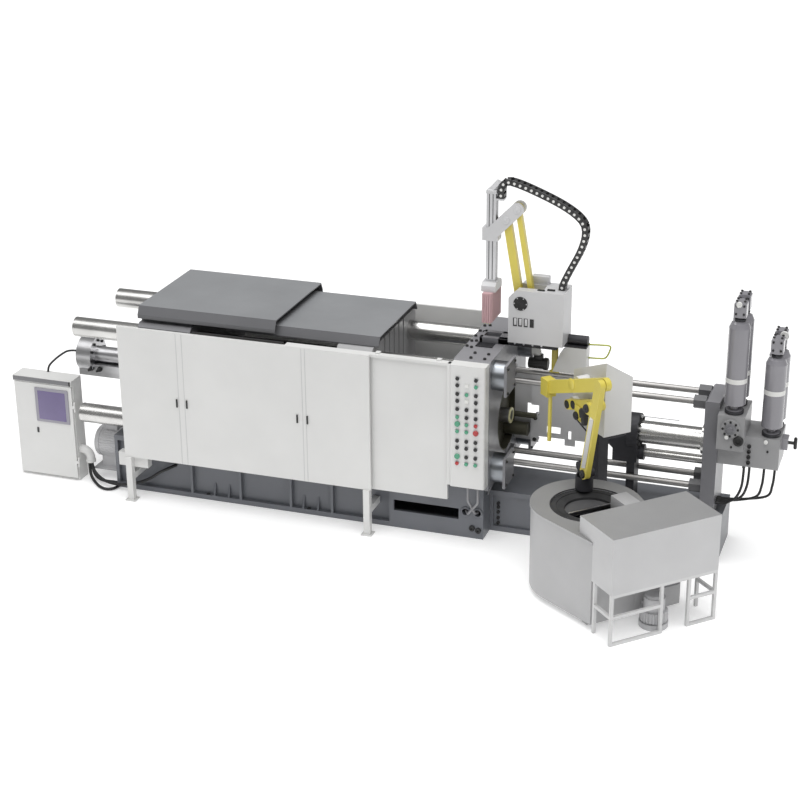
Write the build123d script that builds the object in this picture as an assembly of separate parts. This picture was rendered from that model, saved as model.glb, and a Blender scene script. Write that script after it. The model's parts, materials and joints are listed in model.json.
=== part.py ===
from build123d import *
import math
import os

os.makedirs("parts", exist_ok=True)

# Frame: millimetres. Origin on the floor, on the machine axis, under the
# die face of the fixed platen. +X runs towards the injection end, +Y away
# from the operator, +Z up.

# Clamp unit
AXIS_Z = 1420.0
BAR_R = 115.0
BAR_PITCH = 1080.0
BAR_LEFT_X = -4650.0
PLATEN_MARGIN = 210.0
PLATEN_SIDE = BAR_PITCH + 2 * PLATEN_MARGIN
PLATEN_T = 410.0
PLATEN_CHAMFER = 45.0
REAR_PLATEN_X = -3747.0
REAR_PLATEN_T = 650.0
DIE_DAYLIGHT = 925.0
RUN_GAP = 0.3
MOVE_GAP = 10.0
PLATEN_BOTTOM = AXIS_Z - PLATEN_SIDE / 2.0
PLATEN_TOP = AXIS_Z + PLATEN_SIDE / 2.0
PLATEN_FRONT = -PLATEN_SIDE / 2.0
TAP_SPACING = 600.0
TAP_R = 13.0
TAP_DEPTH = 60.0
DIE_SLOTS = 2
DIE_SLOT_PITCH = 160.0
DIE_SLOT_W = 36.0
DIE_SLOT_D = 60.0

# Base
BASE_LEFT = -4227.0
BASE_RIGHT = 318.0
BASE_HALF = 615.0
BASE_WEB_Y = 560.0
BASE_FLANGE_T = 60.0
BASE_WEB_T = 40.0
BASE_RIB_T = 30.0
BASE_RIB_SHARE = (0.213, 0.349, 0.488, 0.600)
BASE_BOX_L = 1108.0
BASE_SLOT_L = 768.0
BASE_SLOT_RIGHT = 286.0
BASE_SLOT_Z = (212.0, 343.0)
BASE_PORT_R = 42.0
BASE_PORT_Z = 322.0
BASE_PORTS = (203.0, 62.0)
GUSSET_H = 155.0
GUSSET_T = 22.0
GUSSET_PITCH = 180.0
GUSSETS = (3291.0, 2173.0)
INJ_BASE_RIGHT = 2890.0
INJ_BASE_HALF = 355.0
INJ_BASE_TOP = 500.0

# Guards
GUARD_Y = -896.0
GUARD_T = 36.0
GUARD_BOTTOM = 555.0
GUARD_TOP = 2160.0
GUARD_LEFT = -3944.0
PANEL_B_LEFT = -3138.0
PANEL_A_RIGHT = -3210.0
PANEL_B_RIGHT = -1696.0
PANEL_C_LEFT = -1654.0
PANEL_C_RIGHT = -907.0
LEG = 75.0
FOOT = 130.0
FOOT_T = 12.0
LEG_INSET = 48.0
LEG_X = (GUARD_LEFT + LEG_INSET, PANEL_C_RIGHT - LEG_INSET)
DOOR_LEFT = -940.0
DOOR_RIGHT = -34.0
DOOR_FRONT = -830.0
DOOR_T = 36.0
RAIL_T = 30.0
RAIL_W = 80.0
RAIL_LEFT = -1900.0
HANGER_W = 50.0
HANGER_T = 14.0
HANGER_INSET = 80.0

# Roof covers
COVER_T = 14.0
UPPER_COVER = (-3747.0, -2065.0)
UPPER_COVER_TOP = 2365.0
UPPER_COVER_HALF = 685.0
LOWER_COVER = (-2700.0, -873.0)
LOWER_COVER_TOP = 2280.0
LOWER_COVER_HALF = 618.0
COVER_FLARE = 50.0
COVER_SLOPE = 95.0
UPPER_SKIRT = 45.0
LOWER_SKIRT = 10.0

# Operator box
BOX_X = (10.0, 405.0)
BOX_Z = (745.0, 2165.0)
BOX_EDGE_R = 25.0

# Injection unit
SHOT_Z = 1282.0
RECESS_R = 400.0
RECESS_DEPTH = 100.0
SLEEVE_R = 84.0
SLEEVE_BORE_R = 55.0
SLEEVE_RIGHT = 455.0
ROD_R = 34.0
ROD_Y = 156.0
ROD_Z = (793.0, 1772.0)
END_PLATE_X = (2645.0, 2800.0)
END_PLATE_HALF = 272.0
END_PLATE_TOP = 1830.0
CYL_R = 125.0
CYL_LEFT = 1915.0
PLUNGER_R = 40.0
TIP_X = (1480.0, 1580.0)
PLUNGER_RIGHT = 3400.0

# Accumulator stack
MANIFOLD_RIGHT = 3445.0
MANIFOLD_Z = (1120.0, 1470.0)
MANIFOLD_HALF = 230.0
BOTTLE_R = 112.0

# Furnace group, turned 45 degrees: local x is v, local y is u
TURN = -45.0
FURNACE_V = 2127.0
FURNACE_U = 205.0
FURNACE_R = 590.0
FURNACE_BACK_HALF = 440.0
FURNACE_BACK_V = 2941.0
FURNACE_TOP = 995.0
FURNACE_BOTTOM = 70.0
WELL_R = 410.0
WELL_DEPTH = 520.0
HOOD_V = (2690.0, 3310.0)
HOOD_U = (-225.0, 1045.0)
HOOD_Z = (570.0, 1185.0)
TUBE = 32.0

# Ladle robot, in the same turned frame
ARM_U = 347.0
ARM_T = 60.0
LADLE_A = (1573.0, 2102.0)
LADLE_C = (1379.0, 1787.0)
LADLE_LINK = (607.0, 203.0)
LADLE_ARM_LEFT = (1062.0, 1885.0)
LADLE_WRIST = (1955.0, 1240.0)
HOUSING_V = (1290.0, 1917.0)
HOUSING_U = (519.0, 850.0)
HOUSING_Z = (1585.0, 2415.0)
ROOF_FALL_V = 279.0
ROOF_FALL_U = 210.0
COLUMN = 120.0
COLUMN_FOOT_T = 30.0

# Spray robot
SPRAY_Y = -30.0
SPRAY_BOX_X = (457.0, 1068.0)
SPRAY_BOX_Y = (-215.0, 155.0)
SPRAY_BOX_Z = (2230.0, 2830.0)
SPRAY_ARM_L = 1020.0
SPRAY_ARM_LEAN = 10.0
BEAM_ANGLE = 45.7
BEAM_START = (213.0, 3390.0)
BEAM_T1 = 240.0
BEAM_T2 = 415.0
POST = 105.0
POST_Z = (2860.0, 3865.0)

# Control cabinet
CAB_X = (-5511.0, -4734.0)
CAB_Y = (-634.0, -400.0)
CAB_TOP = 1290.0
CAB_LIP_H = 66.0
CAB_WALL = 20.0
CAB_DOOR_T = 24.0
CAB_GAP = 6.0


def block(x0, x1, y0, y1, z0, z1):
    """Box between two corners."""
    size = Box(abs(x1 - x0), abs(y1 - y0), abs(z1 - z0))
    return Pos((x0 + x1) / 2, (y0 + y1) / 2, (z0 + z1) / 2) * size


def rod_x(x0, x1, y, z, r):
    """Cylinder along X."""
    return Pos((x0 + x1) / 2, y, z) * Rot(0, 90, 0) * Cylinder(r, x1 - x0)


def rod_y(x, y0, y1, z, r):
    """Cylinder along Y."""
    return Pos(x, (y0 + y1) / 2, z) * Rot(90, 0, 0) * Cylinder(r, y1 - y0)


def rod_z(x, y, z0, z1, r):
    """Cylinder along Z."""
    return Pos(x, y, (z0 + z1) / 2) * Cylinder(r, z1 - z0)


def link_xz(p, q, y0, y1, r, waist=None):
    """Flat link with round ends between two pivots in an XZ plane, narrower along its waist."""
    dx = q[0] - p[0]
    dz = q[1] - p[1]
    length = math.hypot(dx, dz)
    angle = math.degrees(math.atan2(dz, dx))
    bar = Box(length, y1 - y0, 2 * (waist or r))
    mid = Pos((p[0] + q[0]) / 2, (y0 + y1) / 2, (p[1] + q[1]) / 2)
    shape = mid * Rot(0, -angle, 0) * bar
    shape += rod_y(p[0], y0, y1, p[1], r)
    shape += rod_y(q[0], y0, y1, q[1], r)
    return shape


def prism_x(points, x0, x1):
    """Closed YZ outline drawn out along X."""
    wire = Polyline(*[(x0, y, z) for y, z in points], close=True)
    return extrude(make_face(wire), amount=x1 - x0, dir=(1, 0, 0))


def prism_y(points, y0, y1):
    """Closed XZ outline drawn out along Y."""
    wire = Polyline(*[(x, y0, z) for x, z in points], close=True)
    return extrude(make_face(wire), amount=y1 - y0, dir=(0, 1, 0))


def turned(shape):
    """Piece of the furnace group, drawn in (v, u, z), set in the frame."""
    return Rot(0, 0, TURN) * shape


def bar_places():
    """The four tie bar centres in Y and Z."""
    half = BAR_PITCH / 2
    return [(sy * half, AXIS_Z + sz * half) for sy in (-1, 1) for sz in (-1, 1)]


def rod_places():
    """The four injection rod centres in Y and Z."""
    return [(sy * ROD_Y, z) for sy in (-1, 1) for z in ROD_Z]


def save(shape, name):
    """One STEP file per piece."""
    export_step(shape, f"parts/{name}.step")


def joined(shapes):
    """Separate solids of one piece."""
    return Compound(children=list(shapes))


# Base under the clamp unit: webs between flanges, ribs, and a box section at the platen end
def base_x(from_right):
    """Place measured back from the right end of the base."""
    return BASE_RIGHT - from_right


def make_machine_base():
    flange = BASE_FLANGE_T
    body = block(BASE_LEFT, BASE_RIGHT, -BASE_HALF, BASE_HALF, PLATEN_BOTTOM - flange, PLATEN_BOTTOM)
    body += block(BASE_LEFT, BASE_RIGHT, -BASE_HALF, BASE_HALF, 0, flange)
    for x in (BASE_LEFT, BASE_RIGHT - BASE_WEB_T):
        body += block(x, x + BASE_WEB_T, -BASE_HALF, BASE_HALF, 0, PLATEN_BOTTOM)
    box_left = base_x(BASE_BOX_L)
    for side in (-1, 1):
        web = side * BASE_WEB_Y
        edge = side * BASE_HALF
        body += block(BASE_LEFT, box_left, web, web - side * BASE_WEB_T, 0, PLATEN_BOTTOM)
        body += block(box_left, BASE_RIGHT, edge, edge - side * BASE_WEB_T, 0, PLATEN_BOTTOM)
        body += block(box_left, box_left + BASE_RIB_T, web - side * BASE_WEB_T, edge, 0, PLATEN_BOTTOM)
        for share in BASE_RIB_SHARE:
            x = BASE_LEFT + share * (BASE_RIGHT - BASE_LEFT)
            body += block(x, x + BASE_RIB_T, web, edge, 0, PLATEN_BOTTOM)
        for place in GUSSETS:
            for x in (base_x(place), base_x(place) + GUSSET_PITCH):
                fin = [(web, flange), (edge, flange), (web, flange + GUSSET_H)]
                body += prism_x(fin, x, x + GUSSET_T)
    slot_left = base_x(BASE_SLOT_RIGHT + BASE_SLOT_L)
    body -= block(slot_left, base_x(BASE_SLOT_RIGHT), -BASE_HALF, BASE_WEB_T - BASE_HALF, *BASE_SLOT_Z)
    for place in BASE_PORTS:
        body -= rod_y(base_x(place), -BASE_HALF, BASE_WEB_T - BASE_HALF, BASE_PORT_Z, BASE_PORT_R)
    return body


def make_injection_base():
    top = INJ_BASE_TOP
    half = INJ_BASE_HALF
    body = block(BASE_RIGHT, INJ_BASE_RIGHT, -half, half, top - BASE_FLANGE_T, top)
    body += block(BASE_RIGHT, INJ_BASE_RIGHT, -half, half, 0, BASE_FLANGE_T)
    for side in (-1, 1):
        web = side * (half - BASE_RIB_T)
        body += block(BASE_RIGHT, INJ_BASE_RIGHT, web, web - side * BASE_WEB_T, 0, top)
    for x in (BASE_RIGHT, INJ_BASE_RIGHT - BASE_WEB_T):
        body += block(x, x + BASE_WEB_T, -half, half, 0, top)
    return body


def platen_plate(x0, x1, z0, bore):
    plate = block(x0, x1, -PLATEN_SIDE / 2, PLATEN_SIDE / 2, z0, PLATEN_TOP)
    plate = chamfer(plate.edges().filter_by(Axis.X).sort_by(Axis.Z)[-2:], PLATEN_CHAMFER)
    for y, z in bar_places():
        plate -= rod_x(x0, x1, y, z, bore)
    return plate


def tap_places():
    half = TAP_SPACING / 2
    return [(sy * half, AXIS_Z + sz * half) for sy in (-1, 1) for sz in (-1, 1)]


def make_fixed_platen():
    plate = platen_plate(0, PLATEN_T, PLATEN_BOTTOM, BAR_R)
    plate -= rod_x(0, PLATEN_T, 0, SHOT_Z, SLEEVE_R)
    plate -= rod_x(PLATEN_T - RECESS_DEPTH, PLATEN_T, 0, SHOT_Z, RECESS_R)
    for y, z in tap_places():
        plate -= rod_x(0, TAP_DEPTH, y, z, TAP_R)
    return plate


def make_rear_platen():
    return platen_plate(REAR_PLATEN_X, REAR_PLATEN_X + REAR_PLATEN_T, PLATEN_BOTTOM, BAR_R)


def make_moving_platen():
    """Moving platen with upright clamping slots in its die face."""
    right = -DIE_DAYLIGHT
    plate = platen_plate(right - PLATEN_T, right, PLATEN_BOTTOM + MOVE_GAP, BAR_R + RUN_GAP)
    for k in range(-DIE_SLOTS, DIE_SLOTS + 1):
        lo = k * DIE_SLOT_PITCH - DIE_SLOT_W / 2
        plate -= block(right - DIE_SLOT_D, right, lo, lo + DIE_SLOT_W, PLATEN_BOTTOM, PLATEN_TOP)
    return plate


NUT_R = 165.0
NUT_T = 150.0
CAP_SIDE = 350.0
CAP_T = 30.0
BAR_RIGHT = PLATEN_T + NUT_T


def make_tie_bars():
    return joined(rod_x(BAR_LEFT_X, PLATEN_T, y, z, BAR_R) for y, z in bar_places())


def make_tie_bar_nuts():
    return joined(rod_x(PLATEN_T, BAR_RIGHT, y, z, NUT_R) for y, z in bar_places())


def make_tie_bar_caps():
    half = CAP_SIDE / 2
    return joined(
        block(BAR_RIGHT, BAR_RIGHT + CAP_T, y - half, y + half, z - half, z + half)
        for y, z in bar_places()
    )


CLAMP_STANDOFF = 953.0
CLAMP_FLANGE_T = 190.0
CLAMP_FLANGE_R = 210.0
CLAMP_TUBE_R = 97.0
CLAMP_BLOCK_L = 540.0
CLAMP_BLOCK_DROP = (240.0, 95.0)
CLAMP_BLOCK_HALF = 130.0


def make_clamp_cylinder():
    """Ejector cylinder with a round flange on a valve block."""
    right = REAR_PLATEN_X - CLAMP_STANDOFF
    left = right - CLAMP_FLANGE_T
    body = rod_x(left, REAR_PLATEN_X, 0, AXIS_Z, CLAMP_TUBE_R)
    body += rod_x(left, right, 0, AXIS_Z, CLAMP_FLANGE_R)
    low, high = (AXIS_Z - drop for drop in CLAMP_BLOCK_DROP)
    body += block(left - 10, left - 10 + CLAMP_BLOCK_L, -CLAMP_BLOCK_HALF, CLAMP_BLOCK_HALF, low, high)
    return body


MOTOR_Y = -300.0
MOTOR_Z = 440.0
MOTOR_R = 180.0
MOTOR_L = 370.0
MOTOR_NOSE_R = 130.0
MOTOR_NOSE_L = 40.0
MOTOR_SHELF_Z = (130.0, 150.0)
MOTOR_FOOT_HALF = 110.0


def make_pump_motor():
    """Pump motor on a shelf at the left end of the base."""
    left = BASE_LEFT - MOTOR_L
    nose = Cone(MOTOR_R, MOTOR_NOSE_R, MOTOR_NOSE_L)
    body = rod_x(left + MOTOR_NOSE_L, BASE_LEFT, MOTOR_Y, MOTOR_Z, MOTOR_R)
    body += Pos(left + MOTOR_NOSE_L / 2, MOTOR_Y, MOTOR_Z) * Rot(0, -90, 0) * nose
    foot = MOTOR_FOOT_HALF
    foot_y = (MOTOR_Y - foot, MOTOR_Y + foot)
    body += block(left + 2 * MOTOR_NOSE_L, BASE_LEFT - foot, *foot_y, MOTOR_SHELF_Z[1], MOTOR_Z)
    body += block(left, BASE_LEFT, MOTOR_Y - MOTOR_R, MOTOR_Y + MOTOR_R, *MOTOR_SHELF_Z)
    return body


JUNCTION_X = (-4057.0, -3684.0)
JUNCTION_Z = (410.0, 575.0)
JUNCTION_T = 100.0


def make_junction_box():
    front = GUARD_Y + (GUARD_T + LEG) / 2
    return block(*JUNCTION_X, front, front + JUNCTION_T, *JUNCTION_Z)


# Guards
def guard_plate(x0, x1):
    return block(x0, x1, GUARD_Y, GUARD_Y + GUARD_T, GUARD_BOTTOM, GUARD_TOP)


def leg_set(side):
    """Legs with foot plates, and arms back to the base."""
    front = side * (abs(GUARD_Y) + (LEG - GUARD_T) / 2)
    back = front - side * LEG
    legs = []
    for x in LEG_X:
        leg = block(x - LEG / 2, x + LEG / 2, front, back, 0, GUARD_BOTTOM)
        mid = (front + back) / 2
        leg += block(x - FOOT / 2, x + FOOT / 2, mid - FOOT / 2, mid + FOOT / 2, 0, FOOT_T)
        arm_z = JUNCTION_Z[0] - 2 * LEG
        leg += block(x - LEG / 2, x + LEG / 2, back, side * BASE_WEB_Y, arm_z, arm_z + LEG)
        legs.append(leg)
    return legs


def make_guard_frame():
    strips = [guard_plate(PANEL_A_RIGHT, PANEL_B_LEFT), guard_plate(PANEL_B_RIGHT, PANEL_C_LEFT)]
    return joined(strips + leg_set(-1) + [door_rail()])


def make_back_guard():
    far = -GUARD_Y
    plate = block(GUARD_LEFT, DOOR_RIGHT, far - GUARD_T, far, GUARD_BOTTOM, GUARD_TOP)
    for leg in leg_set(1):
        plate += leg
    return plate


def make_safety_door():
    top = GUARD_TOP - RAIL_T - MOVE_GAP
    door = block(DOOR_LEFT, DOOR_RIGHT, DOOR_FRONT, DOOR_FRONT + DOOR_T, GUARD_BOTTOM - MOVE_GAP, top)
    rail_back = GUARD_Y + GUARD_T + RAIL_W
    back = rail_back + HANGER_T / 2 + HANGER_T
    shoe = GUARD_TOP + RUN_GAP
    for x in (DOOR_LEFT + HANGER_INSET, DOOR_RIGHT - HANGER_INSET - HANGER_W):
        door += block(x, x + HANGER_W, DOOR_FRONT + DOOR_T, back, top - 2 * HANGER_T, top)
        door += block(x, x + HANGER_W, back - HANGER_T, back, top - 2 * HANGER_T, shoe + HANGER_T)
        door += block(x, x + HANGER_W, rail_back - RAIL_W / 2, back, shoe, shoe + HANGER_T)
    return door


def door_rail():
    """Rail behind the guard that carries the sliding door."""
    front = GUARD_Y + GUARD_T
    return block(RAIL_LEFT, BOX_X[0], front, front + RAIL_W, GUARD_TOP - RAIL_T, GUARD_TOP)


def cover_outline(half, top, skirt, inset):
    """Roof outline: flat top, sloped fascia, vertical skirt."""
    wide = half + COVER_FLARE - inset
    bend = top - COVER_SLOPE
    low = bend - skirt
    return [
        (-wide, low), (-wide, bend), (-half + inset / 2, top - inset),
        (half - inset / 2, top - inset), (wide, bend), (wide, low),
    ]


def make_cover(span, half, top, skirt, seat_x, seat_top):
    """Sheet roof with one cross rib that stands on a platen."""
    roof = prism_x(cover_outline(half, top, skirt, 0), *span)
    roof -= prism_x(cover_outline(half, top, skirt, COVER_T), *span)
    rib_half = half - 2 * COVER_T
    roof += block(seat_x[0], seat_x[1], -rib_half, rib_half, seat_top, top - COVER_T)
    return roof


RIB_T = 60.0


def make_upper_cover():
    right = REAR_PLATEN_X + REAR_PLATEN_T
    seat = (right - 2 * RIB_T, right - RIB_T)
    return make_cover(UPPER_COVER, UPPER_COVER_HALF, UPPER_COVER_TOP, UPPER_SKIRT, seat, PLATEN_TOP)


def make_lower_cover():
    seat = (-DIE_DAYLIGHT - 2 * RIB_T, -DIE_DAYLIGHT - RIB_T)
    return make_cover(LOWER_COVER, LOWER_COVER_HALF, LOWER_COVER_TOP, LOWER_SKIRT, seat, PLATEN_TOP)


def make_control_box():
    box = block(*BOX_X, GUARD_Y, PLATEN_FRONT, *BOX_Z)
    return fillet(box.edges().filter_by(Axis.Z).group_by(Axis.Y)[0], BOX_EDGE_R)


# Injection unit
DISH_T = 14.0
VALVE_Y = 200.0
VALVE_SPANS = ((80.0, 1050.0, 600.0), (32.0, 1222.0, 690.0))


def make_shot_disc():
    """Dish that lines the platen recess, with the valves that stand in it."""
    floor = PLATEN_T - RECESS_DEPTH
    dish = rod_x(floor, PLATEN_T, 0, SHOT_Z, RECESS_R)
    dish -= rod_x(floor + DISH_T, PLATEN_T, 0, SHOT_Z, RECESS_R - DISH_T)
    dish -= rod_x(floor, PLATEN_T, 0, SHOT_Z, SLEEVE_R)
    for radius, z, right in VALVE_SPANS:
        dish += rod_x(floor + 1, right, VALVE_Y, z, radius)
    return dish


def make_shot_sleeve():
    tube = rod_x(0, SLEEVE_RIGHT, 0, SHOT_Z, SLEEVE_R)
    return tube - rod_x(0, SLEEVE_RIGHT, 0, SHOT_Z, SLEEVE_BORE_R)


def make_plunger():
    rod = rod_x(TIP_X[1] - 1, PLUNGER_RIGHT, 0, SHOT_Z, PLUNGER_R)
    return rod + rod_x(*TIP_X, 0, SHOT_Z, SLEEVE_BORE_R - RUN_GAP)


CYL_FLANGE_R = 165.0
CYL_FLANGE_T = 45.0
HEAD_R = 200.0
HEAD_T = 115.0
SMALL_CYL_R = 50.0
SMALL_CYL_Z = 1040.0
SMALL_HEAD_R = 88.0
SMALL_HEAD_L = 90.0
YOKE_HALF = 150.0
YOKE_L = 355.0
YOKE_BOTTOM = 965.0
YOKE_POST = (90.0, 240.0)


def make_injection_cylinder():
    """Shot cylinder with an end flange, and the small cylinder under it."""
    right = END_PLATE_X[0]
    body = rod_x(CYL_LEFT, right, 0, SHOT_Z, CYL_R)
    body += rod_x(right - CYL_FLANGE_T, right, 0, SHOT_Z, CYL_FLANGE_R)
    body -= rod_x(CYL_LEFT, right, 0, SHOT_Z, PLUNGER_R + RUN_GAP)
    small = rod_x(CYL_LEFT + SMALL_HEAD_L - HEAD_T / 4, right, 0, SMALL_CYL_Z, SMALL_CYL_R)
    return joined([body, small])


def make_cylinder_support():
    """Round head, wedge yoke and post that carry both cylinders."""
    left = CYL_LEFT - HEAD_T
    wedge_left = CYL_LEFT - YOKE_L
    shoulder = SMALL_CYL_Z + SMALL_HEAD_R
    outline = [
        (wedge_left + 85, YOKE_BOTTOM), (CYL_LEFT, YOKE_BOTTOM), (CYL_LEFT, SHOT_Z),
        (left, SHOT_Z), (wedge_left, shoulder + 60), (wedge_left + 85, shoulder - 20),
    ]
    body = prism_y(outline, -YOKE_HALF, YOKE_HALF)
    body += rod_x(left, CYL_LEFT, 0, SHOT_Z, HEAD_R)
    body += rod_x(left, CYL_LEFT + SMALL_HEAD_L - HEAD_T / 4, 0, SMALL_CYL_Z, SMALL_HEAD_R)
    post_x = CYL_LEFT - HEAD_T
    post_half = YOKE_POST[1] / 2
    body += block(post_x, post_x + YOKE_POST[0], -post_half, post_half, INJ_BASE_TOP, YOKE_BOTTOM + 1)
    body -= rod_x(wedge_left, CYL_LEFT, 0, SHOT_Z, PLUNGER_R + RUN_GAP)
    return body


def make_injection_rods():
    return joined(rod_x(PLATEN_T, END_PLATE_X[0], y, z, ROD_R) for y, z in rod_places())


END_PLATE_BEVEL = 18.0


def make_end_plate():
    plate = block(*END_PLATE_X, -END_PLATE_HALF, END_PLATE_HALF, INJ_BASE_TOP, END_PLATE_TOP)
    plate = chamfer(plate.edges().filter_by(Axis.Y).group_by(Axis.Z)[-1].sort_by(Axis.X)[0], END_PLATE_BEVEL)
    return plate - rod_x(*END_PLATE_X, 0, SHOT_Z, PLUNGER_R + RUN_GAP)


ROD_NUT_R = 78.0
ROD_NUT_L = 135.0
ROD_COLLAR_L = 45.0


def make_rod_nuts():
    """Long nuts at the end plate and collars at the platen."""
    nuts = []
    spans = ((END_PLATE_X[0] - ROD_NUT_L, ROD_NUT_L), (PLATEN_T, ROD_COLLAR_L))
    for y, z in rod_places():
        for left, length in spans:
            hexagon = extrude(RegularPolygon(ROD_NUT_R, 6), amount=length)
            placed = Pos(left, y, z) * Rot(0, 90, 0) * hexagon
            nuts.append(placed - rod_x(left, left + length, y, z, ROD_R))
    return joined(nuts)


PANEL_Y = 300.0
PANEL_T = 12.0
PANEL_STEP = 45.0
PANEL_STEP_X = 615.0
PANEL_RIGHT = 1480.0
PANEL_Z = (880.0, 1735.0)
PANEL_FOOT_L = 220.0
WINDOW = (560.0, 705.0, 1205.0, 1330.0)
SLOTS = ((800.0, 960.0, 1010.0, 1090.0), (1050.0, 1085.0, 960.0, 1060.0))
NOTCHES = ((705.0, 1010.0), (1130.0, 1240.0))
NOTCH_TOP = 955.0


def make_rear_panel():
    """Bent splash sheet behind the shot sleeve, with windows and foot notches."""
    near = PANEL_Y - PANEL_STEP
    plan = [
        (PLATEN_T, PANEL_Y), (PANEL_STEP_X, PANEL_Y), (PANEL_STEP_X, near), (PANEL_RIGHT, near),
        (PANEL_RIGHT, near + PANEL_T), (PANEL_STEP_X + PANEL_T, near + PANEL_T),
        (PANEL_STEP_X + PANEL_T, PANEL_Y + PANEL_T), (PLATEN_T, PANEL_Y + PANEL_T),
    ]
    wire = Polyline(*[(x, y, PANEL_Z[0]) for x, y in plan], close=True)
    sheet = extrude(make_face(wire), amount=PANEL_Z[1] - PANEL_Z[0], dir=(0, 0, 1))
    for x0, x1, z0, z1 in (WINDOW,) + SLOTS:
        sheet -= block(x0, x1, near - 1, PANEL_Y + 2 * PANEL_T, z0, z1)
    for x0, x1 in NOTCHES:
        sheet -= block(x0, x1, near - 1, PANEL_Y + 2 * PANEL_T, PANEL_Z[0], NOTCH_TOP)
    foot_left = PANEL_RIGHT - PANEL_FOOT_L
    sheet += block(foot_left, PANEL_RIGHT, near, near + PANEL_T, INJ_BASE_TOP, PANEL_Z[0] + 1)
    return sheet


TOWER_L = 285.0
TOWER_Y = (-380.0, 130.0)
TOWER_TOP = 1740.0
TOWER_LAP = 120.0
COVER_R = 100.0
COVER_L = 30.0
BOTTLE_PITCH = 255.0
BOTTLE_LEFT = (2950.0, -260.0, TOWER_TOP, 1030.0)
BOTTLE_RIGHT = (3335.0, -110.0, MANIFOLD_Z[1], 890.0)
NECK_R = 45.0
NECK_L = 70.0
SHOULDER_L = 75.0
RING_R = 88.0
RING_L = 45.0
VALVE = 130.0
VALVE_H = 170.0
GRIP_L = 150.0
GRIP_R = 12.0


def make_valve_manifold():
    """Manifold block with the valve tower and its round front cover."""
    left = END_PLATE_X[1]
    body = block(left, MANIFOLD_RIGHT, -MANIFOLD_HALF, MANIFOLD_HALF, *MANIFOLD_Z)
    body += block(left, left + TOWER_L, *TOWER_Y, MANIFOLD_Z[1] - TOWER_LAP, TOWER_TOP)
    cover_z = (MANIFOLD_Z[1] + TOWER_TOP) / 2
    body += rod_y(left + TOWER_L / 2, TOWER_Y[0] - COVER_L, TOWER_Y[0] + 1, cover_z, COVER_R)
    body -= rod_x(left, PLUNGER_RIGHT + MOVE_GAP, 0, SHOT_Z, PLUNGER_R + RUN_GAP)
    return body


def bottle_places():
    pairs = (BOTTLE_LEFT, BOTTLE_RIGHT)
    return [(x, y + k * BOTTLE_PITCH, z, h) for x, y, z, h in pairs for k in (0, 1)]


def make_accumulators():
    """Turned gas bottles: ring, foot cone, barrel, two-step shoulder and neck."""
    bottles = []
    for x, y, z, h in bottle_places():
        foot = z + NECK_L
        top = z + h
        outline = [
            (0, z), (RING_R, z), (RING_R, z + RING_L), (NECK_R, z + RING_L), (NECK_R, foot),
            (BOTTLE_R, foot + SHOULDER_L / 2), (BOTTLE_R, top - SHOULDER_L),
            (0.8 * BOTTLE_R, top - SHOULDER_L / 3), (NECK_R, top), (NECK_R, top + RING_L), (0, top + RING_L),
        ]
        wire = Polyline(*[(x + r, y, level) for r, level in outline], close=True)
        bottles.append(revolve(make_face(wire), Axis((x, y, 0), (0, 0, 1))))
    return joined(bottles)


def make_accumulator_valves():
    """Valve blocks on the bottles, and the tee handle on the manifold end."""
    half = VALVE / 2
    pieces = []
    for x, y, z, h in bottle_places():
        low = z + h + RING_L
        valve = block(x - half, x + half, y - half, y + half, low, low + VALVE_H)
        pieces.append(chamfer(valve.edges().filter_by(Axis.Y).group_by(Axis.Z)[-1], half / 3))
    right = MANIFOLD_RIGHT
    z = (MANIFOLD_Z[0] + MANIFOLD_Z[1]) / 2 + half
    handle = block(right, right + half, -half, half, z - half, z + half)
    handle += rod_x(right + half - 1, right + GRIP_L, 0, z, GRIP_R)
    handle += rod_z(right + GRIP_L - GRIP_R, 0, z - half, z + half, GRIP_R)
    return joined(pieces + [handle])


# Furnace
def u_shape(inset, z0, z1):
    """Furnace plan: a round end towards the machine and walls that run from it, tangent, to the back."""
    radius = FURNACE_R - inset
    half = FURNACE_BACK_HALF - inset
    run = FURNACE_BACK_V - FURNACE_V
    angle = math.atan2(half, run) + math.acos(radius / math.hypot(half, run))
    v = FURNACE_V + radius * math.cos(angle)
    rise = radius * math.sin(angle)
    left, right = (v, FURNACE_U - rise, z0), (v, FURNACE_U + rise, z0)
    back = [(FURNACE_BACK_V, FURNACE_U + side * half, z0) for side in (1, -1)]
    arc = ThreePointArc(left, (FURNACE_V - radius, FURNACE_U, z0), right)
    return extrude(make_face([arc, Polyline(right, *back, left)]), amount=z1 - z0, dir=(0, 0, 1))


LINING_T = 60.0
BATH_DEPTH = 120.0
FOOT_SIDE = 90.0
FOOT_INSET = 165.0
RIM = 10.0
RIM_T = 28.0


def make_furnace_body():
    """U-shaped shell with a top rim, the charging shelf, the well and four feet."""
    body = u_shape(RIM, FURNACE_BOTTOM, FURNACE_TOP)
    body += u_shape(0, FURNACE_TOP - RIM_T, FURNACE_TOP)
    body -= block(*HOOD_V, *HOOD_U, HOOD_Z[0], FURNACE_TOP)
    body -= rod_z(FURNACE_V + LINING_T, FURNACE_U, FURNACE_TOP - WELL_DEPTH, FURNACE_TOP, WELL_R)
    half = FOOT_SIDE / 2
    rows = (
        (FURNACE_V - FOOT_INSET, FURNACE_R - FOOT_INSET),
        (FURNACE_BACK_V - FOOT_INSET, FURNACE_BACK_HALF - FOOT_SIDE),
    )
    for v, reach in rows:
        for u in (FURNACE_U - reach, FURNACE_U + reach):
            body += block(v - half, v + half, u - half, u + half, 0, FURNACE_BOTTOM + 1)
    return turned(body)


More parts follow.
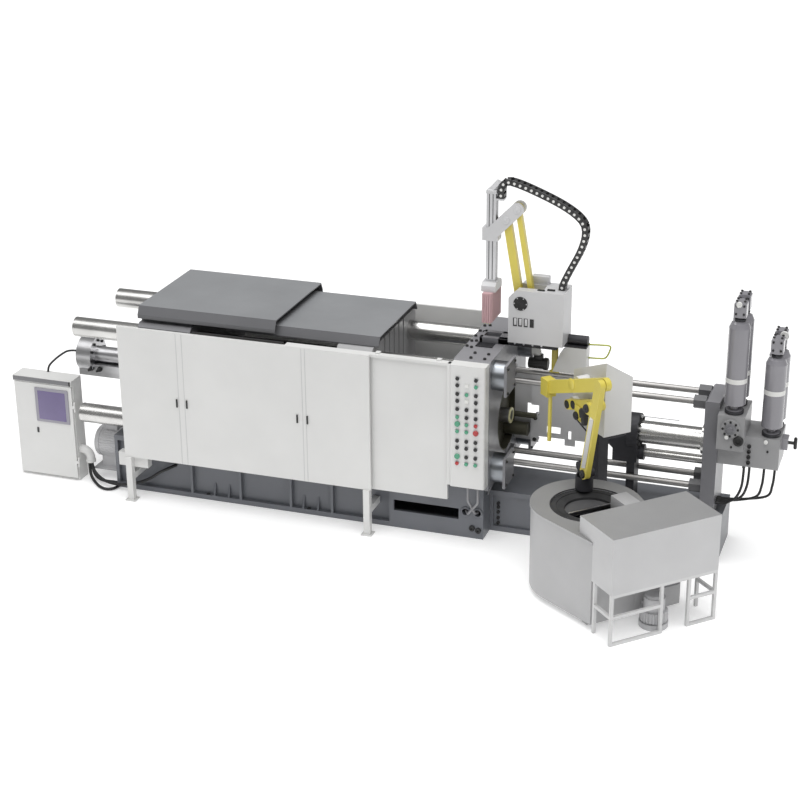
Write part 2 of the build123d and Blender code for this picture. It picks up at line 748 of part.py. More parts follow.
def make_furnace_lining():
    centre = FURNACE_V + LINING_T
    tube = rod_z(centre, FURNACE_U, FURNACE_TOP - WELL_DEPTH, FURNACE_TOP - 15, WELL_R)
    tube -= rod_z(centre, FURNACE_U, FURNACE_TOP - WELL_DEPTH + LINING_T, FURNACE_TOP, WELL_R - LINING_T)
    return turned(tube)


def make_furnace_bath():
    centre = FURNACE_V + LINING_T
    low = FURNACE_TOP - WELL_DEPTH + LINING_T
    return turned(rod_z(centre, FURNACE_U, low, low + BATH_DEPTH, WELL_R - LINING_T))


def make_charging_hood():
    return turned(block(*HOOD_V, *HOOD_U, *HOOD_Z))


FRAME_U = (HOOD_U[0], 365.0, 691.0, HOOD_U[1] - TUBE)
FRAME_RAIL_Z = 300.0


def make_hood_frame():
    front = HOOD_V[1] - TUBE
    body = None
    for u in FRAME_U:
        leg = block(front, front + TUBE, u, u + TUBE, 0, HOOD_Z[0])
        body = leg if body is None else body + leg
    for z in (0.0, FRAME_RAIL_Z):
        body += block(front, front + TUBE, FRAME_U[0], FRAME_U[1], z, z + TUBE)
        body += block(front, front + TUBE, FRAME_U[2], FRAME_U[3], z, z + TUBE)
    body += block(front, front + TUBE, FRAME_U[0], FRAME_U[3] + TUBE, HOOD_Z[0] - TUBE, HOOD_Z[0])
    rear = FURNACE_BACK_V + TUBE
    for u in (FRAME_U[0], FRAME_U[3]):
        body += block(rear, rear + TUBE, u, u + TUBE, 0, HOOD_Z[0])
        body += block(rear, front, u, u + TUBE, FRAME_RAIL_Z, FRAME_RAIL_Z + TUBE)
    return turned(body)


BLOWER_V = 3120.0
BLOWER_U = 420.0
BLOWER_R = 130.0
BLOWER_H = 330.0
BLOWER_FOOT_H = 60.0
BLOWER_RIM = 20.0
DUCT_HALF = 40.0
DUCT_Z = (120.0, 200.0)


def make_blower():
    body = rod_z(BLOWER_V, BLOWER_U, 0, BLOWER_FOOT_H, BLOWER_R + BLOWER_RIM)
    body += rod_z(BLOWER_V, BLOWER_U, 0, BLOWER_H, BLOWER_R - BLOWER_RIM)
    body += block(FURNACE_BACK_V, BLOWER_V, BLOWER_U - DUCT_HALF, BLOWER_U + DUCT_HALF, *DUCT_Z)
    return turned(body)


# Ladle robot
def make_ladle_column():
    v = (HOUSING_V[0] + HOUSING_V[1]) / 2
    u = (HOUSING_U[0] + HOUSING_U[1]) / 2
    half = COLUMN / 2
    body = block(v - half, v + half, u - half, u + half, 0, HOUSING_Z[0])
    body += block(v - 2 * half, v + 2 * half, u - 2 * half, u + 2 * half, 0, COLUMN_FOOT_T)
    column = turned(body)
    x = (v + u) / math.sqrt(2)
    y = (u - v) / math.sqrt(2)
    z = INJ_BASE_TOP - BASE_FLANGE_T
    return column + block(x - half, x + half, y, -INJ_BASE_HALF, z, INJ_BASE_TOP)


PIVOT_R = 35.0
PIVOT_GAP = 0.3
SHAFT_GAP = 6.0


def shifted(p, d):
    return (p[0] + d[0], p[1] + d[1])


LADLE_B = shifted(LADLE_A, LADLE_LINK)
LADLE_D = shifted(LADLE_C, LADLE_LINK)


ARM_R = 70.0
LINK_R = 55.0
FORE_R = 60.0
FORE_U = (ARM_U - ARM_T / 2 - SHAFT_GAP - ARM_T, ARM_U - ARM_T / 2 - SHAFT_GAP)
LINK_U = (ARM_U + ARM_T / 2 + 2 * SHAFT_GAP, ARM_U + 3 * ARM_T / 2 + 2 * SHAFT_GAP)


def make_ladle_housing():
    """Drive housing under one slanted roof, with the two pivot bosses."""
    body = block(*HOUSING_V, *HOUSING_U, *HOUSING_Z)
    fall_v = ROOF_FALL_V / (HOUSING_V[1] - HOUSING_V[0])
    fall_u = ROOF_FALL_U / (HOUSING_U[1] - HOUSING_U[0])
    slope = Vector(-fall_v, fall_u, 1)
    peak = Plane((HOUSING_V[1], HOUSING_U[0], HOUSING_Z[1]), z_dir=slope)
    body = split(body, bisect_by=peak, keep=Keep.BOTTOM)
    for pivot, near, far in ((LADLE_A, ARM_U - ARM_T / 2, ARM_U + ARM_T / 2), (LADLE_C, *LINK_U)):
        body += rod_y(pivot[0], near, HOUSING_U[0] + 1, pivot[1], PIVOT_R)
        body += rod_y(pivot[0], far + SHAFT_GAP, HOUSING_U[0] + 1, pivot[1], 2 * PIVOT_R)
    return turned(body)


def bored(shape, pivot, y0, y1):
    return shape - rod_y(pivot[0], y0, y1, pivot[1], PIVOT_R + PIVOT_GAP)


HEAD_HALF = (70.0, 55.0, 95.0)
HANGER_V = 45.0
HANGER_R = 22.0
HANGER_Z = 1273.0


def make_ladle_upper_arm():
    """Top bar of the linkage, with the end block and its hanging rod."""
    y0 = ARM_U - ARM_T / 2
    y1 = ARM_U + ARM_T / 2
    arm = link_xz(LADLE_ARM_LEFT, LADLE_B, y0, y1, ARM_R)
    arm = bored(arm, LADLE_A, y0, y1)
    left, level = LADLE_ARM_LEFT
    head = HEAD_HALF
    head_u = (ARM_U - head[1], ARM_U + head[1])
    arm += block(left - head[0], left + head[0], *head_u, level - head[2], level + head[2])
    arm += rod_z(left + HANGER_V, ARM_U, HANGER_Z, level - head[2] + 1, HANGER_R)
    arm += rod_y(LADLE_B[0], FORE_U[0], y0 + 1, LADLE_B[1], PIVOT_R)
    return turned(arm)


def make_ladle_lower_link():
    arm = bored(link_xz(LADLE_C, LADLE_D, *LINK_U, LINK_R), LADLE_C, *LINK_U)
    arm += rod_y(LADLE_D[0], FORE_U[0], LINK_U[0] + 1, LADLE_D[1], PIVOT_R)
    return turned(arm)


def make_ladle_forearm():
    arm = link_xz(LADLE_B, LADLE_WRIST, *FORE_U, FORE_R)
    lug = shifted(LADLE_D, (110.0, 0.0))
    arm += link_xz(LADLE_D, lug, *FORE_U, FORE_R)
    for pivot in (LADLE_B, LADLE_D):
        arm = bored(arm, pivot, *FORE_U)
    arm += rod_y(LADLE_WRIST[0], FORE_U[1] - 1, FORE_U[1] + 2 * SHAFT_GAP + ARM_T, LADLE_WRIST[1], PIVOT_R)
    return turned(arm)


CUP_R = 95.0
CUP_H = 150.0
CUP_WALL = 14.0
CUP_V = -115.0
CUP_DROP = 80.0


def make_ladle_cup():
    y0 = FORE_U[1] + SHAFT_GAP
    y1 = y0 + ARM_T
    u = (y0 + y1) / 2
    v = LADLE_WRIST[0] + CUP_V
    top = LADLE_WRIST[1] - CUP_DROP
    cup = rod_z(v, u, top - CUP_H, top, CUP_R)
    cup -= rod_z(v, u, top - CUP_H + CUP_WALL, top, CUP_R - CUP_WALL)
    strap_v = v - CUP_R + CUP_WALL
    strap = link_xz((strap_v, top - CUP_WALL), (strap_v, LADLE_WRIST[1]), y0, y1, CUP_WALL)
    strap += link_xz((v - CUP_R + CUP_WALL, LADLE_WRIST[1]), LADLE_WRIST, y0, y1, PIVOT_R + CUP_WALL)
    return turned(bored(cup + strap, LADLE_WRIST, y0, y1))


# Spray robot on the fixed platen
def along_beam(s):
    a = math.radians(BEAM_ANGLE)
    return (BEAM_START[0] + s * math.cos(a), BEAM_START[1] + s * math.sin(a))


def arm_foot(p):
    a = math.radians(SPRAY_ARM_LEAN)
    return (p[0] + SPRAY_ARM_L * math.sin(a), p[1] - SPRAY_ARM_L * math.cos(a))


SPRAY_T1 = along_beam(BEAM_T1)
SPRAY_T2 = along_beam(BEAM_T2)
SPRAY_P1 = arm_foot(SPRAY_T1)
SPRAY_P2 = arm_foot(SPRAY_T2)
SLOT_HALF = 75.0
SPRAY_ARM_HALF = 35.0
ARM_BOSS = 50.0
MAIN_WAIST = 43.0
REAR_WAIST = 28.0
BEAM_R = 72.0
CHEEK_T = 30.0
SPRAY_FOOT_TOP = SPRAY_BOX_Z[0]


FOOT_X = (120.0, SPRAY_BOX_X[1] - 80.0)
FOOT_Y = (-150.0, 90.0)
FORK_X = (150.0, 330.0)
FORK_Y = (-90.0, 30.0)
TAIL_RIGHT = 1288.0
TAIL_Y = (-20.0, 140.0)
TAIL_T = 20.0
DRIVE_R = 52.0
TANK_LEFT = 915.0
TANK_BOTTOM = 1870.0
TANK_CORNER = (1075.0, 2090.0)


def make_spray_base():
    """Forked foot on the platen, with a tail plate that carries the drive motor."""
    plate = block(*FOOT_X, *FOOT_Y, PLATEN_TOP, SPRAY_FOOT_TOP)
    plate -= block(*FORK_X, *FORK_Y, PLATEN_TOP, SPRAY_FOOT_TOP)
    tail_top = PLATEN_TOP + TAIL_T
    plate += block(FOOT_X[1] - 1, TAIL_RIGHT, *TAIL_Y, PLATEN_TOP, tail_top)
    y = (TAIL_Y[0] + TAIL_Y[1]) / 2
    return plate + rod_x(SPRAY_BOX_X[1], TAIL_RIGHT, y, tail_top + DRIVE_R - 1, DRIVE_R)


def make_spray_tank():
    """Sheet tank hung under the tail plate."""
    left = TANK_LEFT + (TANK_CORNER[0] - TANK_LEFT) / 2
    outline = [
        (TANK_LEFT, TANK_BOTTOM), (TAIL_RIGHT, TANK_BOTTOM), (TAIL_RIGHT, PLATEN_TOP),
        (TANK_CORNER[0], PLATEN_TOP), (left, TANK_CORNER[1]),
    ]
    return prism_y(outline, *TAIL_Y)


def make_spray_housing():
    x0, x1 = SPRAY_BOX_X
    z0, z1 = SPRAY_BOX_Z
    cut = 90.0
    outline = [(x0, z0), (x1, z0), (x1, z1), (x0 + cut, z1), (x0, z1 - cut)]
    body = prism_y(outline, *SPRAY_BOX_Y)
    body -= block(x0, SPRAY_P2[0] + 140, SPRAY_Y - SLOT_HALF, SPRAY_Y + SLOT_HALF, SPRAY_P1[1] - 120, z1)
    for p in (SPRAY_P1, SPRAY_P2):
        body += rod_y(p[0], SPRAY_Y - SLOT_HALF - 1, SPRAY_Y + SLOT_HALF + 1, p[1], PIVOT_R)
    return body


def spray_link(foot, head, boss, waist):
    y0 = SPRAY_Y - SPRAY_ARM_HALF
    y1 = SPRAY_Y + SPRAY_ARM_HALF
    arm = link_xz(foot, head, y0, y1, boss, waist)
    arm = bored(arm, foot, y0, y1)
    return bored(arm, head, y0, y1)


def make_spray_main_arm():
    return spray_link(SPRAY_P1, SPRAY_T1, ARM_BOSS, MAIN_WAIST)


def make_spray_rear_arm():
    return spray_link(SPRAY_P2, SPRAY_T2, ARM_BOSS, REAR_WAIST)


CLAMP_Z = (3320.0, 3463.0)


def make_spray_beam():
    inner = SPRAY_ARM_HALF + SHAFT_GAP
    outer = inner + CHEEK_T
    start = along_beam(30.0)
    body = None
    for side in (-1, 1):
        lo, hi = sorted((SPRAY_Y + side * inner, SPRAY_Y + side * outer))
        cheek = link_xz(start, SPRAY_T2, lo, hi, BEAM_R)
        body = cheek if body is None else body + cheek
    for p in (SPRAY_T1, SPRAY_T2):
        body += rod_y(p[0], SPRAY_Y - inner - 1, SPRAY_Y + inner + 1, p[1], PIVOT_R)
    half = POST / 2
    x = BEAM_START[0]
    body += block(x - half - 40, x + half + 30, SPRAY_Y - outer, SPRAY_Y + outer, *CLAMP_Z)
    body -= block(x - half, x + half, SPRAY_Y - half, SPRAY_Y + half, POST_Z[0], POST_Z[1])
    return joined([body, spray_carriage()])


CHAIN_W = 110.0
CHAIN_T = 70.0
CHAIN_FOOT = 3790.0
CHAIN_SHELF_T = 20.0
CHAIN_X = BEAM_START[0] + POST
CHAIN_POINTS = (
    (CHAIN_X, CHAIN_FOOT), (CHAIN_X, 3955.0), (455.0, 3990.0), (1190.0, 3690.0),
    (1275.0, 3430.0), (1010.0, 2905.0), (1010.0, SPRAY_BOX_Z[1]),
)
CHAIN_BENDS = (70.0, 150.0, 150.0, 170.0, 70.0)


def make_spray_post():
    half = POST / 2
    x = BEAM_START[0]
    post = block(x - half, x + half, SPRAY_Y - half, SPRAY_Y + half, *POST_Z)
    shelf = (CHAIN_FOOT - CHAIN_SHELF_T, CHAIN_FOOT)
    return post + block(x, CHAIN_X + CHAIN_T / 2, SPRAY_Y - half, SPRAY_Y + half, *shelf)


HEAD_Z = (2425.0, 2760.0)
HEAD_X_HALF = 52.0
HEAD_Y = (-220.0, 160.0)


def spray_carriage():
    """Block between the post and the spray head, with sloped shoulders."""
    x = BEAM_START[0]
    wide = (HEAD_Y[0] + 60, HEAD_Y[1] - 60)
    body = block(x - 80, x + 80, *wide, HEAD_Z[1], POST_Z[0])
    return chamfer(body.edges().filter_by(Axis.X).group_by(Axis.Z)[-1], 35)


def make_spray_head():
    x = BEAM_START[0]
    return block(x - HEAD_X_HALF, x + HEAD_X_HALF, *HEAD_Y, *HEAD_Z)


def make_drag_chain():
    path = FilletPolyline(*[(x, SPRAY_Y, z) for x, z in CHAIN_POINTS], radius=CHAIN_BENDS)
    plane = Plane(path @ 0, z_dir=path % 0, x_dir=(0, 1, 0))
    return sweep(plane * Rectangle(CHAIN_W, CHAIN_T), path=path)


# Control cabinet
HINGE_R = 12.0
HINGE_PIN_R = 6.0
HINGE_HALF = 60.0
KNUCKLE_HALF = 20.0
KNUCKLE_GAP = 2.0
HINGE_X = CAB_X[1] + HINGE_R
HINGE_Y = CAB_Y[0] + HINGE_R
HINGE_Z = (250.0, 960.0)
CAB_FRONT = CAB_Y[0] + CAB_DOOR_T + CAB_GAP
DOOR_INSET = 10.0
DOOR_SILL = 40.0


LIP_FRONT = 8.0
ELBOW_R = 52.0
ELBOW_Y = -517.0
ELBOW_Z = (385.0, 235.0)
ELBOW_X = -4615.0
ELBOW_BEND = 100.0
COLLAR = 8.0
COLLAR_L = 30.0


def cable_elbow():
    """Round cable elbow on the side of the cabinet, opening downwards."""
    low, high = ELBOW_Z
    route = ((CAB_X[1] - 1, ELBOW_Y, low), (ELBOW_X, ELBOW_Y, low), (ELBOW_X, ELBOW_Y, high))
    path = FilletPolyline(*route, radius=ELBOW_BEND)
    pipe = sweep(Plane(path @ 0, z_dir=path % 0) * Circle(ELBOW_R), path=path)
    return pipe + rod_z(ELBOW_X, ELBOW_Y, ELBOW_Z[1], ELBOW_Z[1] + COLLAR_L, ELBOW_R + COLLAR)


def make_cabinet_body():
    body = block(*CAB_X, CAB_FRONT, CAB_Y[1], 0, CAB_TOP)
    w = CAB_WALL
    body -= block(CAB_X[0] + w, CAB_X[1] - w, CAB_FRONT, CAB_Y[1] - w, w, CAB_TOP - w)
    body += block(*CAB_X, CAB_Y[0] - LIP_FRONT, CAB_FRONT + w, CAB_TOP - CAB_LIP_H, CAB_TOP)
    body += cable_elbow()
    for z in HINGE_Z:
        body += rod_z(HINGE_X, HINGE_Y, z - HINGE_HALF, z + HINGE_HALF, HINGE_PIN_R)
        for z0, z1 in ((z - HINGE_HALF, z - KNUCKLE_HALF), (z + KNUCKLE_HALF, z + HINGE_HALF)):
            body += rod_z(HINGE_X, HINGE_Y, z0, z1, HINGE_R)
            body += block(CAB_X[1], HINGE_X, HINGE_Y, CAB_FRONT + HINGE_R, z0, z1)
    return body


def make_cabinet_door():
    back = CAB_Y[0] + CAB_DOOR_T
    top = CAB_TOP - CAB_LIP_H - DOOR_INSET
    door = block(CAB_X[0] + DOOR_INSET, CAB_X[1] - DOOR_INSET, CAB_Y[0], back, DOOR_SILL, top)
    for z in HINGE_Z:
        z0 = z - KNUCKLE_HALF + KNUCKLE_GAP
        z1 = z + KNUCKLE_HALF - KNUCKLE_GAP
        door += block(CAB_X[1] - DOOR_INSET, HINGE_X, CAB_Y[0], HINGE_Y, z0, z1)
        door += rod_z(HINGE_X, HINGE_Y, z0, z1, HINGE_R)
        door -= rod_z(HINGE_X, HINGE_Y, z0, z1, HINGE_PIN_R + RUN_GAP)
    return door


# Cables and conduits
CABLE_D = 36.0
TOP_CABLE_D = 25.0
CONDUIT_R = 14.0
CONDUIT_BEND = 60.0
CABLE_SIDES = 10
CABLE_1 = (
    (-4634, -528, 235), (-4634, -528, 150), (-4605, -565, 70), (-4524, -627, 22),
    (-4400, -735, 20), (-4290, -772, 20), (-4200, -715, 24), (-4200, -615, 24),
)
CABLE_2 = (
    (-4596, -528, 235), (-4596, -528, 160), (-4520, -580, 105), (-4400, -650, 80),
    (-4280, -685, 68), (-4150, -690, 68), (-3979, -680, 95), (-3777, -670, 178),
    (-3640, -665, 285), (-3520, -655, 350), (-3450, -573, 373),
)
CABLE_3 = (
    (-4615, -495, 235), (-4615, -495, 140), (-4585, -505, 60), (-4510, -532, 22),
    (-4415, -558, 20), (-4320, -570, 30), (-4227, -570, 30),
)
TOP_CABLE = (
    (-5151, -425, 1290), (-5151, -425, 1352), (-5105, -360, 1415), (-5055, -260, 1462),
    (-5010, -140, 1484), (-4890, -140, 1484),
)
CONDUIT_INSET = 73.0
CONDUIT_SEAT = 15.0
CONDUIT_RUNS = ((200.0, 560.0, 245.0, 75.0, 345.0, 62.0), (314.0, 540.0, 165.0, 85.0, 335.0, 203.0))


def cable(points, diameter):
    """Plain cable along its route, each corner eased by its shorter run."""
    radii = []
    for before, here, after in zip(points, points[1:], points[2:]):
        back = Vector(*before) - Vector(*here)
        ahead = Vector(*after) - Vector(*here)
        half_turn = (math.pi - math.radians(back.get_angle(ahead))) / 2
        radii.append(0.45 * min(back.length, ahead.length) / math.tan(half_turn))
    path = FilletPolyline(*points, radius=radii)
    return sweep(Plane(path @ 0, z_dir=path % 0) * RegularPolygon(diameter / 2, CABLE_SIDES), path=path)


def conduit_points(top_x, drop_z, bend_x, bend_out, bend_z, port):
    """Route from the operator box's floor down, across and into one port of the base."""
    y = GUARD_Y + CONDUIT_INSET
    return (
        (top_x, y, BOX_Z[0]),
        (top_x, y, drop_z),
        (bend_x, -BASE_HALF - bend_out, bend_z),
        (base_x(port), CONDUIT_SEAT - BASE_HALF, BASE_PORT_Z),
    )


def make_box_conduits():
    """Two bent conduits from the operator box into the base."""
    pipes = []
    for run in CONDUIT_RUNS:
        path = FilletPolyline(*conduit_points(*run), radius=CONDUIT_BEND)
        section = Plane(path @ 0, z_dir=path % 0) * RegularPolygon(CONDUIT_R, CABLE_SIDES)
        pipes.append(sweep(section, path=path))
    return joined(pipes)


PIECES = {
    "machine_base": make_machine_base,
    "injection_base": make_injection_base,
    "fixed_platen": make_fixed_platen,
    "rear_platen": make_rear_platen,
    "moving_platen": make_moving_platen,
    "tie_bars": make_tie_bars,
    "tie_bar_nuts": make_tie_bar_nuts,
    "tie_bar_caps": make_tie_bar_caps,
    "clamp_cylinder": make_clamp_cylinder,
    "pump_motor": make_pump_motor,
    "junction_box": make_junction_box,
    "guard_panel_left": lambda: guard_plate(GUARD_LEFT, PANEL_A_RIGHT),
    "guard_panel_middle": lambda: guard_plate(PANEL_B_LEFT, PANEL_B_RIGHT),
    "guard_panel_right": lambda: guard_plate(PANEL_C_LEFT, PANEL_C_RIGHT),
    "guard_frame": make_guard_frame,
    "back_guard": make_back_guard,
    "safety_door": make_safety_door,
    "upper_cover": make_upper_cover,
    "lower_cover": make_lower_cover,
    "control_box": make_control_box,
    "shot_disc": make_shot_disc,
    "shot_sleeve": make_shot_sleeve,
    "plunger": make_plunger,
    "injection_cylinder": make_injection_cylinder,
    "cylinder_support": make_cylinder_support,
    "injection_rods": make_injection_rods,
    "end_plate": make_end_plate,
    "rod_nuts": make_rod_nuts,
    "rear_panel": make_rear_panel,
    "valve_manifold": make_valve_manifold,
    "accumulators": make_accumulators,
    "accumulator_valves": make_accumulator_valves,
    "furnace_body": make_furnace_body,
    "furnace_lining": make_furnace_lining,
    "furnace_bath": make_furnace_bath,
    "charging_hood": make_charging_hood,
    "hood_frame": make_hood_frame,
    "blower": make_blower,
    "ladle_column": make_ladle_column,
    "ladle_housing": make_ladle_housing,
    "ladle_upper_arm": make_ladle_upper_arm,
    "ladle_lower_link": make_ladle_lower_link,
    "ladle_forearm": make_ladle_forearm,
    "ladle_cup": make_ladle_cup,
    "spray_base": make_spray_base,
    "spray_tank": make_spray_tank,
    "spray_housing": make_spray_housing,
    "spray_main_arm": make_spray_main_arm,
    "spray_rear_arm": make_spray_rear_arm,
    "spray_beam": make_spray_beam,
    "spray_post": make_spray_post,
    "spray_head": make_spray_head,
    "drag_chain": make_drag_chain,
    "cabinet_body": make_cabinet_body,
    "cabinet_door": make_cabinet_door,
    "cabinet_cable_1": lambda: cable(CABLE_1, CABLE_D),
    "cabinet_cable_2": lambda: cable(CABLE_2, CABLE_D),
    "cabinet_cable_3": lambda: cable(CABLE_3, CABLE_D),
    "top_cable": lambda: cable(TOP_CABLE, TOP_CABLE_D),
    "box_conduits": make_box_conduits,
}

for name, maker in PIECES.items():
    save(maker(), name)
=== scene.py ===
"""Looks of a cold chamber die casting machine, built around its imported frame."""

import json
import math

import bmesh
import bpy
import numpy as np
from mathutils import Matrix, Vector


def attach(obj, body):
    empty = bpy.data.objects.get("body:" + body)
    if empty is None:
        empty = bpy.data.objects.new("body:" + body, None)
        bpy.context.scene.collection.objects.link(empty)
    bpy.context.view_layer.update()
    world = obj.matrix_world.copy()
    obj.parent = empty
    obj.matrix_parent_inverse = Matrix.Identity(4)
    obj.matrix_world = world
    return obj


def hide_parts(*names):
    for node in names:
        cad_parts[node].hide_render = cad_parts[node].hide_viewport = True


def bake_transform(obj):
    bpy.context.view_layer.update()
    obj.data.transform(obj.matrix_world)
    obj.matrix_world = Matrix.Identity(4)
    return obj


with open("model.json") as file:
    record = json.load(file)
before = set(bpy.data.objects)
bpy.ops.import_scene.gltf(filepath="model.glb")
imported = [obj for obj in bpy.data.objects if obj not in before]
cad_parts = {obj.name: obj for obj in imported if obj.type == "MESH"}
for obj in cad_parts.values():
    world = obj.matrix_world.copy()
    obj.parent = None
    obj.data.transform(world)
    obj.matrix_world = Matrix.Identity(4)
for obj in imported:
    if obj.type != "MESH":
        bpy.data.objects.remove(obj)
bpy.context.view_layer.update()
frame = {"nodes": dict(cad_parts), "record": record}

bl_info = {
    "name": "Die casting machine",
    "version": (1, 0, 0),
    "blender": (4, 5, 0),
    "location": "View3D > Sidebar > Die casting",
    "description": "Finishes and fittings of a cold chamber die casting machine",
    "category": "Object",
}

NODES = frame["nodes"]
SLOT_OF = {row["node"]: row["material_slot"] for row in frame["record"]["subparts"]}


# Colours and sizes that a user can change
def colour_prop(label, default, text):
    """A colour, as linear red, green and blue."""
    return bpy.props.FloatVectorProperty(
        name=label, description=text, default=default, size=3, min=0.0, max=1.0, subtype="COLOR"
    )


def size_prop(label, default, text):
    """A length in metres."""
    return bpy.props.FloatProperty(name=label, description=text, default=default, min=0.0, unit="LENGTH")


class MachineColours(bpy.types.PropertyGroup):
    """Paint and metal colours of the large pieces."""

    panel: colour_prop("Panel paint", (0.67, 0.67, 0.66), "Guard panels and cabinet")
    cover: colour_prop("Cover paint", (0.128, 0.129, 0.136), "Sides of the roof covers")
    # Roof: a lighter copy of the cover colour for faces that look up, painted light on the tops
    roof: colour_prop("Roof top, painted light", (0.234, 0.240, 0.249), "Lighter tops of the roof covers, painted light")
    base: colour_prop("Base paint", (0.138, 0.145, 0.162), "Machine bases")
    platen: colour_prop("Platen paint", (0.170, 0.170, 0.182), "Sides of the platens and end plate")
    # Platen top: a lighter copy of the platen colour for faces that look up, painted light on the tops
    platen_top: colour_prop("Platen top, painted light", (0.245, 0.243, 0.258), "Lighter tops of the platens and end plate, painted light")
    light: colour_prop("Light grey paint", (0.59, 0.59, 0.60), "Spray robot's housing and beam")
    yellow: colour_prop("Arm paint", (0.70, 0.59, 0.10), "Robot arms")
    furnace: colour_prop("Furnace paint", (0.445, 0.445, 0.45), "Sides of the furnace")
    furnace_top: colour_prop("Furnace top paint", (0.240, 0.240, 0.240), "Top of the furnace")
    hood: colour_prop("Hood paint", (0.545, 0.545, 0.55), "Sides of the charging hood")
    hood_top: colour_prop("Hood top paint", (0.28, 0.28, 0.282), "Top of the charging hood")
    bottle: colour_prop("Bottle paint", (0.245, 0.24, 0.26), "Accumulators")
    head: colour_prop("Spray head colour", (0.58, 0.38, 0.40), "Spray manifold")
    steel: colour_prop("Steel", (0.56, 0.56, 0.57), "Machined steel")
    dark: colour_prop("Dark steel", (0.035, 0.035, 0.04), "Blackened steel")
    bar: colour_prop("Ground bar", (0.66, 0.655, 0.64), "Tie bars and injection cylinder")
    lining: colour_prop("Lining", (0.026, 0.026, 0.027), "Furnace lining")
    melt: colour_prop("Melt skin", (0.10, 0.10, 0.105), "Skin of the bath")
    plastic: colour_prop("Black plastic", (0.02, 0.02, 0.02), "Caps, knobs and screws")
    tube: colour_prop("Tube paint", (0.62, 0.62, 0.62), "Legs of the charging hood")
    cable: colour_prop("Cable sheath", (0.015, 0.015, 0.016), "Cables and hydraulic pipes")


class FittingColours(bpy.types.PropertyGroup):
    """Colours of the small fittings."""

    green: colour_prop("Button green", (0.06, 0.31, 0.18), "Green push buttons")
    red: colour_prop("Button red", (0.42, 0.018, 0.018), "Red push buttons")
    white: colour_prop("Button white", (0.72, 0.72, 0.70), "Square lamps")
    glass: colour_prop("Screen glass", (0.135, 0.105, 0.235), "Cabinet screen")
    bezel: colour_prop("Bezel grey", (0.30, 0.29, 0.335), "Frame of the cabinet screen")
    strip: colour_prop("Strip grey", (0.17, 0.17, 0.18), "Cabinet lip, riser pipe and gas valves")
    motor: colour_prop("Motor grey", (0.50, 0.50, 0.51), "Pump motor and blower")
    manifold: colour_prop("Manifold paint", (0.305, 0.305, 0.31), "Valve manifold")
    well: colour_prop("Well plate", (0.085, 0.085, 0.087), "Half cover of the furnace well")
    lock: colour_prop("Lock", (0.06, 0.06, 0.062), "Cabinet lock")
    band: colour_prop("Band white", (0.74, 0.74, 0.72), "Bottle bands, gauges and chain pins")
    pipe: colour_prop("Pipe yellow", (0.42, 0.46, 0.05), "Coolant loop")
    slot: colour_prop("Slot grey", (0.10, 0.10, 0.105), "Slots of the post and nuts of the rods")
    chain: colour_prop("Chain plastic", (0.022, 0.022, 0.023), "Drag chain")
    fitting: colour_prop("Fitting steel", (0.60, 0.60, 0.61), "Collars and edges")
    rod: colour_prop("Rod steel", (0.42, 0.41, 0.40), "Injection rods")
    nut: colour_prop("Nut steel", (0.27, 0.285, 0.305), "Tie bar nuts")
    brass: colour_prop("Brass", (0.70, 0.67, 0.40), "Sleeve ring and nozzles")
    conduit: colour_prop("Conduit grey", (0.24, 0.24, 0.25), "Conduits of the operator box")
    # Also colours the moving platen, lighter than the other platens: painted light against the shade of the
    # roof cover
    rim: colour_prop("Rim grey and lightened platen", (0.37, 0.37, 0.375), "Furnace rim block, and the moving platen lightened as painted light against the roof cover's shade")
    seam: colour_prop("Seam grey", (0.55, 0.55, 0.55), "Joints of the guard panels")
    bronze: colour_prop("Dish bronze", (0.075, 0.072, 0.050), "Shot disc")


class FittingSizes(bpy.types.PropertyGroup):
    """Sizes of the small fittings."""

    button: size_prop("Button radius", 0.022, "Cap of a push button")
    seam: size_prop("Seam width", 0.008, "Joint between two guard panels")
    pipe: size_prop("Pipe radius", 0.014, "Pipes under the valve manifold")
    band: size_prop("Band half height", 0.026, "Pale band of a bottle")
    tube: size_prop("Spray tube radius", 0.011, "Tubes of the spray head")
    link_width: size_prop("Link half width", 0.055, "Drag chain across its bend")
    link_height: size_prop("Link half height", 0.035, "Drag chain in the plane of its bend")


class StageSizes(bpy.types.PropertyGroup):
    """Camera and floor."""

    lens: bpy.props.FloatProperty(name="Lens", description="Focal length", default=80.19, unit="CAMERA")
    floor: size_prop("Floor half width", 40.0, "Half the floor's side")


GROUPS = {
    "machine_colours": MachineColours,
    "fitting_colours": FittingColours,
    "fitting_sizes": FittingSizes,
    "stage_sizes": StageSizes,
}


def colours():
    """Colours of the large pieces, as set now."""
    return bpy.context.scene.machine_colours


def fitting_colours():
    """Colours of the fittings, as set now."""
    return bpy.context.scene.fitting_colours


def sizes():
    """Sizes of the fittings, as set now."""
    return bpy.context.scene.fitting_sizes


def stage_sizes():
    """Sizes of the stage, as set now."""
    return bpy.context.scene.stage_sizes


# Paints and metals
# Upward facing over which a paint switches to its top colour: painted light on the covers and platens
UPWARD = (0.6, 0.8)
CLOUD_SCALE = 1.6
CLOUD_DETAIL = 4.0
CLOUD_SPAN = (0.3, 0.7)
PEEL_SCALE = 220.0
PEEL_DETAIL = 2.0
PEEL_STRENGTH = 0.12
PEEL_DEPTH = 0.0006
SMEAR_SCALE = 7.0
SMEAR_DETAIL = 5.0
SMEAR_RANGE = 0.07
COAT_ROUGH = 0.2
LAY_SCALE = 90.0
LAY_DETAIL = 4.0
LAY_ALONG = 0.05
LAY_ACROSS = 4.0
LAY_RANGE = 0.03
LAY_STRENGTH = 0.008
LAY_DEPTH = 0.0004
FILM_SCALE = 3.0
FILM_DETAIL = 3.0
FILM_SPAN = (0.35, 0.7)
FILM_SHADES = (0.86, 1.05)
PATCH_SCALE = 5.0
PATCH_DETAIL = 5.0
